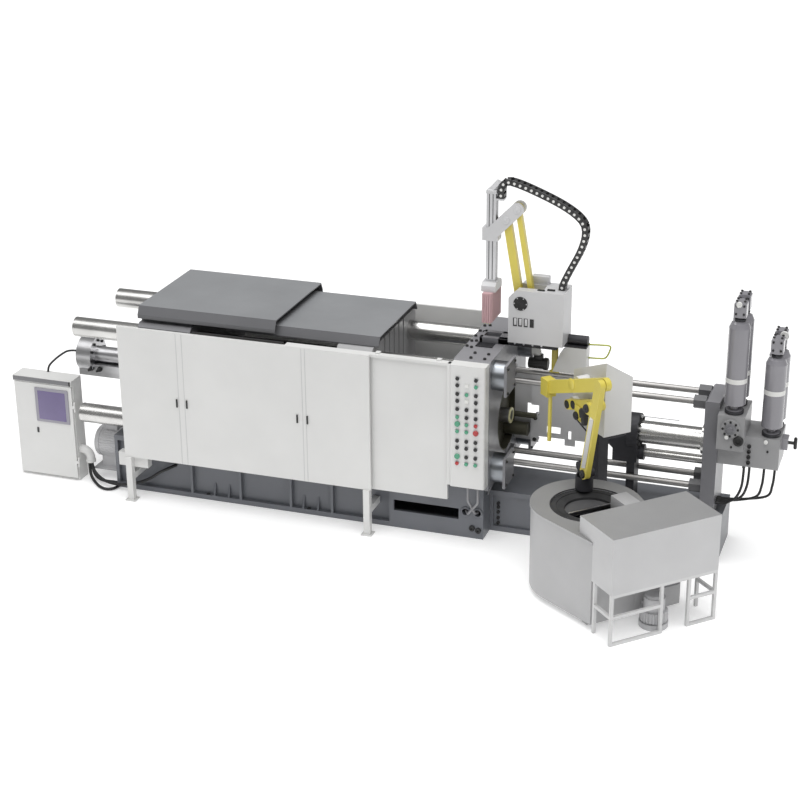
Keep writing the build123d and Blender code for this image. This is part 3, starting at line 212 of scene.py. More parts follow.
PATCH_SPAN = (0.3, 0.75)
PATCH_SHADES = (0.7, 1.4)
GRIT_DETAIL = 6.0
GRIT_STRENGTH = 0.35
GRIT_DEPTH = 0.002
GRIT_RANGE = 0.1


def shader(name, colour, rough, metal=0.0):
    """A new material with its Principled shader set to constants."""
    mat = bpy.data.materials.new(name)
    mat.use_nodes = True
    bsdf = mat.node_tree.nodes["Principled BSDF"]
    bsdf.inputs["Base Color"].default_value = (*colour, 1.0)
    bsdf.inputs["Roughness"].default_value = rough
    bsdf.inputs["Metallic"].default_value = metal
    return mat, mat.node_tree, bsdf


def add(tree, kind, **values):
    """A node with its named properties set."""
    node = tree.nodes.new(kind)
    for key, value in values.items():
        setattr(node, key, value)
    return node


def object_noise(tree, scale, detail, stretch=(1.0, 1.0, 1.0)):
    """Level of a noise on Object coordinates, drawn out by a stretch along each axis."""
    place = add(tree, "ShaderNodeTexCoord")
    mapping = add(tree, "ShaderNodeMapping")
    mapping.inputs["Scale"].default_value = stretch
    tree.links.new(place.outputs["Object"], mapping.inputs["Vector"])
    noise = add(tree, "ShaderNodeTexNoise")
    noise.inputs["Scale"].default_value = scale
    noise.inputs["Detail"].default_value = detail
    tree.links.new(mapping.outputs["Vector"], noise.inputs["Vector"])
    return noise.outputs["Fac"]


def tinted(tree, source, span, colour, shades):
    """A colour that goes from its first shade to its last while a noise crosses a span."""
    node = add(tree, "ShaderNodeValToRGB")
    for element, position, factor in zip(node.color_ramp.elements, span, shades):
        element.position = position
        element.color = (*(min(1.0, c * factor) for c in colour), 1.0)
    tree.links.new(source, node.inputs["Fac"])
    return node.outputs["Color"]


def bump(tree, bsdf, source, strength, distance):
    """Bump from a height."""
    node = add(tree, "ShaderNodeBump")
    node.inputs["Strength"].default_value = strength
    node.inputs["Distance"].default_value = distance
    tree.links.new(source, node.inputs["Height"])
    tree.links.new(node.outputs["Normal"], bsdf.inputs["Normal"])


def range_of(tree, source, low, high):
    """Level from 0 to 1 moved to a range."""
    node = add(tree, "ShaderNodeMapRange")
    node.inputs["To Min"].default_value = low
    node.inputs["To Max"].default_value = high
    tree.links.new(source, node.inputs["Value"])
    return node.outputs["Result"]


def uneven_gloss(tree, bsdf, source, rough, reach):
    """Roughness that a noise moves up and down by a reach."""
    tree.links.new(range_of(tree, source, rough - reach, rough + reach), bsdf.inputs["Roughness"])


def upward(tree):
    """Mask of the faces that look up, from the surface's own direction."""
    # This mask places the lighter tops of the covers and platens, which are painted light, and the darker
    # tops of the furnace and hood
    place = add(tree, "ShaderNodeTexCoord")
    split = add(tree, "ShaderNodeSeparateXYZ")
    tree.links.new(place.outputs["Normal"], split.inputs["Vector"])
    mask = add(tree, "ShaderNodeMapRange")
    mask.inputs["From Min"].default_value = UPWARD[0]
    mask.inputs["From Max"].default_value = UPWARD[1]
    tree.links.new(split.outputs["Z"], mask.inputs["Value"])
    return mask.outputs["Result"]


def paint(name, colour, rough, mottling=0.06, coat=0.15, top=None):
    """Sprayed enamel with faint clouds, orange peel and a clear coat; faces that look up may take a second
    colour, which on the roof covers and platens is a lighter top of painted light.
    """
    mat, tree, bsdf = shader(name, colour, rough)
    cloud = object_noise(tree, CLOUD_SCALE, CLOUD_DETAIL)
    shades = (1 - mottling, 1 + mottling)
    result = tinted(tree, cloud, CLOUD_SPAN, colour, shades)
    if top is not None:
        mix = add(tree, "ShaderNodeMix", data_type="RGBA")
        tree.links.new(upward(tree), mix.inputs["Factor"])
        tree.links.new(result, mix.inputs["A"])
        tree.links.new(tinted(tree, cloud, CLOUD_SPAN, top, shades), mix.inputs["B"])
        result = mix.outputs["Result"]
    tree.links.new(result, bsdf.inputs["Base Color"])
    bump(tree, bsdf, object_noise(tree, PEEL_SCALE, PEEL_DETAIL), PEEL_STRENGTH, PEEL_DEPTH)
    uneven_gloss(tree, bsdf, object_noise(tree, SMEAR_SCALE, SMEAR_DETAIL), rough, SMEAR_RANGE)
    bsdf.inputs["Coat Weight"].default_value = coat
    bsdf.inputs["Coat Roughness"].default_value = COAT_ROUGH
    return mat


def turned_metal(name, colour, rough, axis):
    """Ground or turned steel: fine lay marks across the axis, soft streaks along it."""
    mat, tree, bsdf = shader(name, colour, rough, metal=1.0)
    stretch = [LAY_ALONG] * 3
    stretch[axis] = LAY_ACROSS
    lay = object_noise(tree, LAY_SCALE, LAY_DETAIL, stretch)
    uneven_gloss(tree, bsdf, lay, rough, LAY_RANGE)
    bump(tree, bsdf, lay, LAY_STRENGTH, LAY_DEPTH)
    film = object_noise(tree, FILM_SCALE, FILM_DETAIL)
    tree.links.new(tinted(tree, film, FILM_SPAN, colour, FILM_SHADES), bsdf.inputs["Base Color"])
    return mat


def cast(name, colour, rough, grain=60.0, metal=0.3):
    """Blackened or cast metal: grainy bump and patchy tone."""
    mat, tree, bsdf = shader(name, colour, rough, metal)
    patch = object_noise(tree, PATCH_SCALE, PATCH_DETAIL)
    tree.links.new(tinted(tree, patch, PATCH_SPAN, colour, PATCH_SHADES), bsdf.inputs["Base Color"])
    grit = object_noise(tree, grain, GRIT_DETAIL)
    bump(tree, bsdf, grit, GRIT_STRENGTH, GRIT_DEPTH)
    uneven_gloss(tree, bsdf, grit, rough, GRIT_RANGE)
    return mat


def make_materials():
    """One material for each of the frame's finishes."""
    c = colours()
    return {
        "panel_white": paint("panel paint", c.panel, rough=0.42, mottling=0.03),
        # Cover sides take the cover colour and tops the lighter roof colour: painted light on the tops
        "cover_grey": paint("cover paint with painted light on top", c.cover, rough=0.38, top=c.roof),
        "base_grey": paint("base paint", c.base, rough=0.4),
        # Platen tops take a lighter colour: painted light
        "platen_grey": paint("platen paint with painted light on top", c.platen, rough=0.36, top=c.platen_top),
        "bar_chrome": turned_metal("ground bar", c.bar, rough=0.26, axis=0),
        "steel": turned_metal("machined steel", c.steel, rough=0.32, axis=0),
        "dark_steel": cast("blackened steel", c.dark, rough=0.5),
        "light_grey": paint("light grey paint", c.light, rough=0.4),
        "yellow": paint("arm paint", c.yellow, rough=0.36),
        "furnace_grey": paint("furnace paint", c.furnace, rough=0.5, mottling=0.05, top=c.furnace_top),
        "lining": cast("furnace lining", c.lining, rough=0.85, grain=30.0, metal=0.0),
        "melt": cast("melt skin", c.melt, rough=0.4, grain=12.0, metal=0.6),
        "bottle_grey": paint("bottle paint", c.bottle, rough=0.22, coat=0.6),
        "spray_pink": paint("spray manifold", c.head, rough=0.4, mottling=0.1),
        "black_plastic": paint("black plastic", c.plastic, rough=0.5, mottling=0.2, coat=0.0),
        "tube_white": paint("tube paint", c.tube, rough=0.4),
        "cable": paint("cable sheath", c.cable, rough=0.55, mottling=0.2, coat=0.0),
    }


def make_fitting_finishes():
    """Finishes of the hood and the small fittings, looked up by name."""
    c = colours()
    paint("hood paint", c.hood, rough=0.5, mottling=0.05, top=c.hood_top)
    f = fitting_colours()
    paint("button green", f.green, rough=0.3, mottling=0.1, coat=0.5)
    paint("button red", f.red, rough=0.3, mottling=0.1, coat=0.5)
    paint("button white", f.white, rough=0.35, mottling=0.05, coat=0.4)
    paint("screen glass", f.glass, rough=0.16, mottling=0.12, coat=0.6)
    paint("bezel grey", f.bezel, rough=0.4)
    paint("strip grey", f.strip, rough=0.4)
    paint("motor grey", f.motor, rough=0.42)
    paint("manifold paint", f.manifold, rough=0.36)
    paint("well plate", f.well, rough=0.45, mottling=0.15)
    paint("lock dark", f.lock, rough=0.4)
    paint("band white", f.band, rough=0.4)
    paint("pipe yellow", f.pipe, rough=0.35)
    paint("slot grey", f.slot, rough=0.5)
    paint("chain plastic", f.chain, rough=0.42, mottling=0.2, coat=0.1)
    paint("sleeve brass", f.brass, rough=0.35, mottling=0.1, coat=0.3)
    paint("conduit grey", f.conduit, rough=0.4)
    # Shared by the rim block and the moving platen, whose lighter grey is painted light
    paint("rim grey and lightened platen", f.rim, rough=0.45)
    paint("seam grey", f.seam, rough=0.45)
    turned_metal("fitting steel", f.fitting, rough=0.3, axis=1)
    turned_metal("rod steel", f.rod, rough=0.46, axis=0)
    turned_metal("nut steel", f.nut, rough=0.3, axis=0)
    cast("dish bronze", f.bronze, rough=0.45, metal=0.4)


def finish(name):
    """A finish by its name."""
    return bpy.data.materials[name]


# Nodes whose finish is not their slot's
NODE_LOOKS = {
    "tie_bar_nuts": "nut steel",
    "tie_bar_caps": "platen paint with painted light on top",
    "valve_manifold": "manifold paint",
    "ladle_housing": "panel paint",
    "pump_motor": "motor grey",
    "charging_hood": "hood paint",
    "blower": "motor grey",
    "box_conduits": "conduit grey",
    "shot_disc": "dish bronze",
    "rod_nuts": "slot grey",
    "injection_rods": "rod steel",
    "guard_frame": "panel paint",
    # Moving platen takes a lighter grey than the other platens: painted light against the shade of the roof
    # cover
    "moving_platen": "rim grey and lightened platen",
}


class DIECAST_OT_finishes(bpy.types.Operator):
    """Give every piece of the frame its finish."""

    bl_idname = "diecast.finishes"
    bl_label = "Finishes"

    def execute(self, context):
        table = make_materials()
        make_fitting_finishes()
        for name, obj in NODES.items():
            look = finish(NODE_LOOKS[name]) if name in NODE_LOOKS else table[SLOT_OF[name]]
            obj.data.materials.clear()
            obj.data.materials.append(look)
        return {"FINISHED"}


# Forms: each is an array of points and an array of quads
RIGHT = (1.0, 0.0, 0.0)
BACK = (0.0, 1.0, 0.0)
FRONT = (0.0, -1.0, 0.0)
UP = (0.0, 0.0, 1.0)
DOWN = (0.0, 0.0, -1.0)
CORNERS = ((-1, -1), (-1, 1), (1, -1), (1, 1))
SHARP = math.radians(35)
MERGE = 2e-5
SLIVER = 1e-6
LEAST_CORNER = 1e-5
STEEP = 0.9


def axes_of(direction):
    """Unit direction with two unit vectors square to it, right-handed."""
    d = np.asarray(direction, float)
    d = d / np.linalg.norm(d)
    side = np.cross(d, UP if abs(d[2]) < STEEP else RIGHT)
    side = side / np.linalg.norm(side)
    return d, side, np.cross(d, side)


def grid_quads(rows, cols):
    """Quads of a grid whose columns close on themselves."""
    r = np.arange(rows - 1)[:, None]
    c = np.arange(cols)[None, :]
    n = (c + 1) % cols
    return np.stack([r * cols + c, r * cols + n, (r + 1) * cols + n, (r + 1) * cols + c], -1).reshape(-1, 4)


def turned_form(centre, direction, profile, count=24):
    """Surface p(s, t) = c + a(s) d + r(s) (u cos t + w sin t) of a profile of (a, r) along an axis d."""
    d, u, w = axes_of(direction)
    reach, radius = np.asarray(profile, float).T
    t = np.linspace(0.0, 2.0 * np.pi, count, endpoint=False)
    ring = np.cos(t)[:, None] * u + np.sin(t)[:, None] * w
    points = np.asarray(centre, float) + reach[:, None, None] * d + radius[:, None, None] * ring
    return points.reshape(-1, 3), grid_quads(len(reach), count)


def disc_profile(radius, low, high):
    """Profile of a plain disc or cylinder between two reaches."""
    return ((low, 0.0), (low, radius), (high, radius), (high, 0.0))


def ring_profile(inner, outer, low, high):
    """Closed profile of a plain ring between two radii and two reaches."""
    return ((low, inner), (low, outer), (high, outer), (high, inner), (low, inner))


def soft_ring(width, height, corner, steps):
    """Rounded rectangle as a closed ring of points: four quarter arcs about the corner centres."""
    t = np.linspace(0.0, np.pi / 2, steps)
    angle = np.concatenate([t + k * np.pi / 2 for k in range(4)])
    sx = np.repeat([1.0, -1.0, -1.0, 1.0], steps)
    sy = np.repeat([1.0, 1.0, -1.0, -1.0], steps)
    x = sx * (width / 2 - corner) + corner * np.cos(angle)
    y = sy * (height / 2 - corner) + corner * np.sin(angle)
    return np.stack([x, y], -1)


def soft_block(low, high, bevel, axis=2, steps=3):
    """Block with rounded edges: a rounded rectangle along an axis, drawn in by b (1 - sin s) at its ends."""
    low = np.asarray(low, float)
    high = np.asarray(high, float)
    across = [(axis + 1) % 3, (axis + 2) % 3]
    width, height = (high - low)[across]
    depth = (high - low)[axis]
    s = np.linspace(0.0, np.pi / 2, steps)
    rise = bevel * (1 - np.cos(s))
    draw = bevel * (1 - np.sin(s))
    level = np.concatenate([[0.0], rise, depth - rise[::-1], [depth]])
    rings = [
        soft_ring(width - 2 * d, height - 2 * d, bevel - d + LEAST_CORNER, steps)
        for d in np.concatenate([draw, draw[::-1]])
    ]
    pole = np.zeros((4 * steps, 2))
    points = np.zeros((len(level), 4 * steps, 3))
    points[:, :, across] = np.stack([pole, *rings, pole]) + (low + high)[across] / 2
    points[:, :, axis] = low[axis] + level[:, None]
    return points.reshape(-1, 3), grid_quads(len(level), 4 * steps)


def front_plate(spans, y, depth, bevel):
    """Soft-edged plate standing out of a front face: spans are x0, x1, z0, z1."""
    x0, x1, z0, z1 = spans
    return soft_block((x0, y - depth, z0), (x1, y, z1), bevel, axis=1)


def raised_plate(spans, base, height, bevel):
    """Soft-edged plate on a level face: spans are x0, x1, y0, y1."""
    x0, x1, y0, y1 = spans
    return soft_block((x0, y0, base), (x1, y1, base + height), bevel)


def smooth_line(points, count):
    """Catmull-Rom curve through points, as count points a run."""
    p = np.asarray(points, float)
    ends = np.vstack([2 * p[0] - p[1], p, 2 * p[-1] - p[-2]])
    t = np.linspace(0.0, 1.0, count, endpoint=False)[:, None, None]
    a, b, c, d = ends[:-3], ends[1:-2], ends[2:-1], ends[3:]
    square = (2 * a - 5 * b + 4 * c - d) * t**2
    cube = (3 * b - a - 3 * c + d) * t**3
    runs = 0.5 * (2 * b + (c - a) * t + square + cube)
    return np.vstack([runs.transpose(1, 0, 2).reshape(-1, 3), p[-1]])


def upright_line(route, y):
    """Places in an XZ plane, as points in space."""
    return [(x, y, z) for x, z in route]


def tube_form(line, radius, up, count=12):
    """Tube p(s, t) = c(s) + r (u cos t + w sin t), where u is square to the line and to a fixed vector."""
    line = np.asarray(line, float)
    ahead = np.gradient(line, axis=0)
    ahead = ahead / np.linalg.norm(ahead, axis=1)[:, None]
    u = np.cross(ahead, np.asarray(up, float))
    u = u / np.linalg.norm(u, axis=1)[:, None]
    w = np.cross(ahead, u)
    t = np.linspace(0.0, 2.0 * np.pi, count, endpoint=False)
    ring = np.cos(t)[None, :, None] * u[:, None, :] + np.sin(t)[None, :, None] * w[:, None, :]
    body = line[:, None, :] + radius * ring
    caps = [np.repeat(line[k][None, None, :], count, 1) for k in (0, -1)]
    points = np.concatenate([caps[0], body, caps[1]])
    return points.reshape(-1, 3), grid_quads(len(points), count)


def straight_tube(start, end, radius, up, count=12):
    """Tube along a straight line of three places."""
    return tube_form(np.linspace(start, end, 3), radius, up, count)


def ribbed_form(centre, direction, span, radius, depth, ribs):
    """Finned barrel: r(t) = r0 + d clip(2 cos(n t), -1, 1) / 2 round an axis, drawn in at both ends."""
    d, u, w = axes_of(direction)
    t = np.linspace(0.0, 2.0 * np.pi, ribs * 8, endpoint=False)
    wave = radius + depth * np.clip(2.0 * np.cos(ribs * t), -1.0, 1.0) / 2
    ring = np.cos(t)[:, None] * u + np.sin(t)[:, None] * w
    low, high = span
    reach = np.array([low, low, high, high])
    share = np.array([0.0, 1.0, 1.0, 0.0])
    points = np.asarray(centre, float) + reach[:, None, None] * d + (share[:, None] * wave)[:, :, None] * ring
    return points.reshape(-1, 3), grid_quads(4, len(t))


# Profiles of fasteners, in shares of the head's radius
BOLT_HEAD = np.array([(0.0, 0.0), (0.0, 1.0), (0.55, 1.0), (0.75, 0.8), (0.75, 0.0)])
BOLT_WASHER = np.array([(0.0, 0.0), (0.0, 1.35), (0.15, 1.35), (0.15, 0.0)])
CAP_SCREW = np.array([(0.0, 0.0), (0.0, 1.0), (0.85, 1.0), (1.0, 0.85), (1.0, 0.5), (0.5, 0.5), (0.5, 0.0)])


def bolts_at(places, direction, radius):
    """Hexagon heads on washers."""
    forms = []
    for at in places:
        forms.append(turned_form(at, direction, radius * BOLT_HEAD, count=6))
        forms.append(turned_form(at, direction, radius * BOLT_WASHER, count=12))
    return forms


def screws_at(places, direction, radius):
    """Round cap screws with their sockets."""
    return [turned_form(at, direction, radius * CAP_SCREW, count=12) for at in places]


def side_ring(centre, radius, count, phase):
    """Places round a circle in a YZ plane."""
    x, y, z = centre
    t = phase + np.arange(count) * 2.0 * np.pi / count
    return [(x, y + radius * math.cos(a), z + radius * math.sin(a)) for a in t]


def front_ring(centre, radius, count):
    """Places round a circle in an XZ plane."""
    x, y, z = centre
    t = np.arange(count) * 2.0 * np.pi / count
    return [(x + radius * math.cos(a), y, z + radius * math.sin(a)) for a in t]


def joined_form(forms):
    """Several forms as one list of points and one of quads."""
    offsets = np.cumsum([0] + [len(points) for points, _ in forms[:-1]])
    quads = [faces + start for (_, faces), start in zip(forms, offsets)]
    return np.vstack([points for points, _ in forms]), np.vstack(quads)


def piece(name, forms, look, body="frame"):
    """One object from forms: doubles at poles merged, faces turned outwards, steep edges kept sharp."""
    points, quads = joined_form(forms)
    mesh = bpy.data.meshes.new(name)
    mesh.from_pydata(points, [], quads)
    work = bmesh.new()
    work.from_mesh(mesh)
    bmesh.ops.remove_doubles(work, verts=work.verts, dist=MERGE)
    bmesh.ops.dissolve_degenerate(work, edges=work.edges, dist=SLIVER)
    bmesh.ops.recalc_face_normals(work, faces=work.faces)
    work.to_mesh(mesh)
    work.free()
    mesh.shade_smooth()
    mesh.set_sharp_from_angle(angle=SHARP)
    mesh.materials.append(finish(look))
    obj = bpy.data.objects.new(name, mesh)
    bpy.context.scene.collection.objects.link(obj)
    if body:
        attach(obj, body)
    return obj


# Cables: diameter, length and route of each
CABLE_D = 0.036
TOP_CABLE_D = 0.025
CABLES = {
    "cabinet_cable_1": (CABLE_D, 0.756, (
        (-4.634, -0.528, 0.235), (-4.634, -0.528, 0.150), (-4.605, -0.565, 0.070), (-4.524, -0.627, 0.022),
        (-4.400, -0.735, 0.020), (-4.290, -0.772, 0.020), (-4.200, -0.715, 0.024), (-4.200, -0.615, 0.024),
    )),
    "cabinet_cable_2": (CABLE_D, 1.376, (
        (-4.596, -0.528, 0.235), (-4.596, -0.528, 0.160), (-4.520, -0.580, 0.105), (-4.400, -0.650, 0.080),
        (-4.280, -0.685, 0.068), (-4.150, -0.690, 0.068), (-3.979, -0.680, 0.095), (-3.777, -0.670, 0.178),
        (-3.640, -0.665, 0.285), (-3.520, -0.655, 0.350), (-3.450, -0.573, 0.373),
    )),
    "cabinet_cable_3": (CABLE_D, 0.551, (
        (-4.615, -0.495, 0.235), (-4.615, -0.495, 0.140), (-4.585, -0.505, 0.060), (-4.510, -0.532, 0.022),
        (-4.415, -0.558, 0.020), (-4.320, -0.570, 0.030), (-4.227, -0.570, 0.030),
    )),
    "top_cable": (TOP_CABLE_D, 0.516, (
        (-5.151, -0.425, 1.290), (-5.151, -0.425, 1.352), (-5.105, -0.360, 1.415), (-5.055, -0.260, 1.462),
        (-5.010, -0.140, 1.484), (-4.890, -0.140, 1.484),
    )),
}
CABLE_ROUND = 5
CABLE_ORDER = 3
CABLE_STEPS = 16


def cord_curve(name, points, diameter):
    """Round cord on a quadratic NURBS line whose control points are the route's points."""
    curve = bpy.data.curves.new(name, "CURVE")
    curve.dimensions = "3D"
    curve.bevel_depth = diameter / 2
    curve.bevel_resolution = CABLE_ROUND
    curve.use_fill_caps = True
    spline = curve.splines.new("NURBS")
    spline.points.add(len(points) - 1)
    weighted = np.hstack([np.array(points), np.ones((len(points), 1))])
    spline.points.foreach_set("co", weighted.ravel())
    spline.order_u = CABLE_ORDER
    spline.use_endpoint_u = True
    spline.resolution_u = CABLE_STEPS
    obj = bpy.data.objects.new(name, curve)
    bpy.context.scene.collection.objects.link(obj)
    return obj


class DIECAST_OT_cords(bpy.types.Operator):
    """Cables from the cabinet to the machine."""

    bl_idname = "diecast.cords"
    bl_label = "Cables"

    def execute(self, context):
        for node, (diameter, length, points) in CABLES.items():
            obj = cord_curve(node + "_run", points, diameter)
            obj.data.materials.append(finish("cable sheath"))
            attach(obj, "frame")
            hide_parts(node)
        return {"FINISHED"}


# Operator box: capitals are mushroom heads, and a dot leaves a place empty
GUARD_Y = -0.896
BUTTON_X = (0.099, 0.203, 0.306)
BUTTON_Z = (2.019, 1.941, 1.842, 1.761, 1.668, 1.575, 1.493, 1.408, 1.298, 1.216, 1.113, 1.031)
BUTTON_ROWS = ("k.k", "kwg", "kgk", "kwk", "kkk", "gkk", "Ggr", "ggR", "kkk", "kkk", "Gkk", "rgg")
BUTTON_FINISH = {"k": "black plastic", "g": "button green", "r": "button red", "w": "button white"}
BUTTON_SIDES = 20
MUSHROOM = 1.4
LAMP_DEPTH = 0.012
LAMP_EDGE = 0.004
# Profiles with their reach in metres and their radius in shares of the button's
BUTTON_CAP = np.array([(0.0, 0.0), (0.0, 1.0), (0.016, 1.0), (0.022, 0.85), (0.024, 0.5), (0.024, 0.0)])
BUTTON_COLLAR = np.array([(0.0, 0.0), (0.0, 1.3), (0.005, 1.3), (0.008, 1.1), (0.008, 0.0)])


def control_box_pieces():
    """Buttons in three columns, sorted by colour, and a collar under each round one."""
    plain = sizes().button
    sorted_forms = {key: [] for key in BUTTON_FINISH}
    collars = []
    places = [(x, z, key) for z, row in zip(BUTTON_Z, BUTTON_ROWS) for x, key in zip(BUTTON_X, row)]
    for x, z, key in places:
        if key == ".":
            continue
        if key == "w":
            lens = (x - plain, x + plain, z - plain, z + plain)
            sorted_forms[key].append(front_plate(lens, GUARD_Y, LAMP_DEPTH, LAMP_EDGE))
            continue
        at = (x, GUARD_Y, z)
        radius = plain * (MUSHROOM if key.isupper() else 1.0)
        sorted_forms[key.lower()].append(turned_form(at, FRONT, BUTTON_CAP * (1.0, radius), BUTTON_SIDES))
        collars.append(turned_form(at, FRONT, BUTTON_COLLAR * (1.0, plain), BUTTON_SIDES))
    for key, forms in sorted_forms.items():
        piece("control_box_" + BUTTON_FINISH[key].replace(" ", "_"), forms, BUTTON_FINISH[key])
    piece("control_box_collars", collars, "fitting steel")


# Guards
BACK_Y = 0.896
GRIP_X = (-3.232, -3.109, -1.760, -1.640)
GRIP_Z = 1.312
GRIP_HALF = (0.010, 0.050)
GRIP_DEPTH = 0.013
GRIP_GAP = 0.003
GRIP_EDGE = 0.004
PLATE_RIM = 0.007
PLATE_DEPTH = 0.004
PLATE_EDGE = 0.0018
SEAM_X = (-3.210, -3.138, -1.696, -1.654)
SEAM_T = 0.002
SEAM_Z = (0.560, 2.150)
SEAM_EDGE = 0.0008
JAMB = ((-0.029, -0.872, 0.745), (0.012, -0.790, 2.160))
# Black strip along the guard's top: painted shade for the dark gap under the roof cover
TOP_SHADE_STRIP = ((-3.020, -0.862, 2.100), (-1.915, -0.842, 2.186))
TRIM_EDGE = 0.004


def grip_plate(x, face, depth, edge, rim=0.0):
    """Plate about a grip's middle, standing out of a face and grown by a rim all round."""
    half_w = GRIP_HALF[0] + rim
    half_h = GRIP_HALF[1] + rim
    return front_plate((x - half_w, x + half_w, GRIP_Z - half_h, GRIP_Z + half_h), face, depth, edge)


def guard_pieces():
    """Pull grips front and back, front plates under them, panel joints, the box's jamb, and a black strip
    along the guard's top that is painted shade for the dark gap under the cover.
    """
    front = [grip_plate(x, GUARD_Y - GRIP_GAP, GRIP_DEPTH, GRIP_EDGE) for x in GRIP_X]
    back = [grip_plate(x, BACK_Y + GRIP_DEPTH, GRIP_DEPTH, GRIP_EDGE) for x in GRIP_X]
    plates = [grip_plate(x, GUARD_Y, PLATE_DEPTH, PLATE_EDGE, PLATE_RIM) for x in GRIP_X]
    half = sizes().seam / 2
    seams = []
    for x in SEAM_X:
        for face in (BACK_Y + SEAM_T, GUARD_Y):
            seams.append(front_plate((x - half, x + half, *SEAM_Z), face, SEAM_T, SEAM_EDGE))
    piece("guard_grips", front + back, "black plastic")
    piece("guard_seams", seams, "seam grey")
    piece("box_jamb", [soft_block(*JAMB, TRIM_EDGE)], "panel paint")
    # Painted shade: black strip for the dark gap under the cover
    piece("guard_top_shade_strip", [soft_block(*TOP_SHADE_STRIP, TRIM_EDGE)], "black plastic")
    piece("guard_grip_plates", plates, "panel paint")


# Control cabinet: spans are x0, x1, z0, z1
DOOR_Y = -0.634
BEZEL = (-5.230, -4.788, 0.735, 1.165)
BEZEL_DEPTH = 0.014
BEZEL_EDGE = 0.005
SCREEN = (-5.190, -4.827, 0.768, 1.132)
SCREEN_OUT = 0.010
SCREEN_DEPTH = 0.006
SCREEN_EDGE = 0.002
LOCK_X = -5.229
LOCK_Z = 0.615
LOCK_HALF = (0.014, 0.034)
LOCK_DEPTH = 0.006
LOCK_EDGE = 0.003
BARREL_UP = 0.014
BARREL_R = 0.010
KEY_HALF = 0.005
KEY_SPAN = (-0.028, 0.006)
KEY_OUT = 0.005
KEY_DEPTH = 0.010
LIP = (-5.507, -4.760, 1.231, 1.284)
LIP_Y = -0.642
LIP_DEPTH = 0.004
LIP_EDGE = 0.0015
LIP_END_W = 0.020
LIP_END_DEPTH = 0.010
LIP_END_LAP = 0.004


def cabinet_pieces():
    """Screen in its bezel, the lock, and the dark strip along the cabinet's lip."""
    bezel = front_plate(BEZEL, DOOR_Y, BEZEL_DEPTH, BEZEL_EDGE)
    piece("cabinet_bezel", [bezel], "bezel grey", "cabinet_door")
    screen = front_plate(SCREEN, DOOR_Y - SCREEN_OUT, SCREEN_DEPTH, SCREEN_EDGE)
    piece("cabinet_screen", [screen], "screen glass", "cabinet_door")
    x, z = LOCK_X, LOCK_Z
    half_w, half_h = LOCK_HALF
    key = (x - KEY_HALF, x + KEY_HALF, z + KEY_SPAN[0], z + KEY_SPAN[1])
    barrel = disc_profile(BARREL_R, 0.0, LOCK_DEPTH)
    lock = [
        front_plate((x - half_w, x + half_w, z - half_h, z + half_h), DOOR_Y, LOCK_DEPTH, LOCK_EDGE),
        turned_form((x, DOOR_Y - LOCK_DEPTH, z + BARREL_UP), FRONT, barrel, count=16),
        front_plate(key, DOOR_Y - KEY_OUT, KEY_DEPTH, LOCK_EDGE),
    ]
    piece("cabinet_lock", lock, "lock dark", "cabinet_door")
    piece("cabinet_lip_strip", [front_plate(LIP, LIP_Y, LIP_DEPTH, LIP_EDGE)], "strip grey")
    left = LIP[1] - LIP_END_LAP
    end = front_plate((left, left + LIP_END_W, LIP[2], LIP[3]), LIP_Y, LIP_END_DEPTH, LOCK_EDGE)
    piece("cabinet_lip_end", [end], "black plastic")


class DIECAST_OT_controls(bpy.types.Operator):
    """Buttons, grips, panel joints, screen and lock."""

    bl_idname = "diecast.controls"
    bl_label = "Controls"

    def execute(self, context):
        control_box_pieces()
        guard_pieces()
        cabinet_pieces()
        return {"FINISHED"}


# Clamp cylinder and pump motor
AXIS_Z = 1.420
CLAMP_X = -4.700
FLANGE_R = 0.165
FLANGE_BOLTS = 10
FLANGE_PHASE = 0.2
FLANGE_BOLT_R = 0.017
CLAMP_BLOCK_Y = -0.130
PLUG_X = (-4.726, -4.618)
PLUG_Z = 1.278
PLUG = (
    (0.0, 0.0), (0.0, 0.032), (0.012, 0.032), (0.014, 0.022), (0.050, 0.022), (0.056, 0.016), (0.085, 0.014),
    (0.085, 0.0),
)
MOTOR_AT = (0.0, -0.300, 0.440)
MOTOR_SPAN = (-4.530, -4.250)
MOTOR_R = 0.176
MOTOR_FINS = 36
MOTOR_FIN_OUT = 0.006
MOTOR_FIN_H = 0.008
MOTOR_BOX = ((-4.450, -0.070, 0.166), (-4.310, 0.070, 0.261))
MOTOR_BOX_EDGE = 0.010
COWL = ((-0.060, 0.0), (-0.060, 0.120), (-0.050, 0.172), (-0.030, 0.188), (0.010, 0.190), (0.010, 0.0))


def clamp_pieces():
    """Flange bolts, plugs on the valve block and the pump motor's fins, box and cowl."""
    ring = side_ring((CLAMP_X, 0.0, AXIS_Z), FLANGE_R, FLANGE_BOLTS, FLANGE_PHASE)
    piece("clamp_flange_bolts", screws_at(ring, RIGHT, FLANGE_BOLT_R), "black plastic")
    plugs = [turned_form((x, CLAMP_BLOCK_Y, PLUG_Z), FRONT, PLUG, count=20) for x in PLUG_X]
    piece("clamp_plugs", plugs, "black plastic")
    low, high = np.add(MOTOR_AT, MOTOR_BOX)
    motor = [
        ribbed_form(MOTOR_AT, RIGHT, MOTOR_SPAN, MOTOR_R + MOTOR_FIN_OUT, MOTOR_FIN_H, MOTOR_FINS),
        soft_block(low, high, MOTOR_BOX_EDGE),
        turned_form((MOTOR_SPAN[0], *MOTOR_AT[1:]), RIGHT, COWL, count=32),
    ]
    piece("pump_motor_fins", motor, "motor grey")


# Roof covers
ROOF_STRIP_X = (-3.740, -3.105)
ROOF_STRIP_Z = (2.168, 2.232)
ROOF_STRIP_Y = (0.600, 0.655)
ROOF_STRIP_EDGE = 0.004


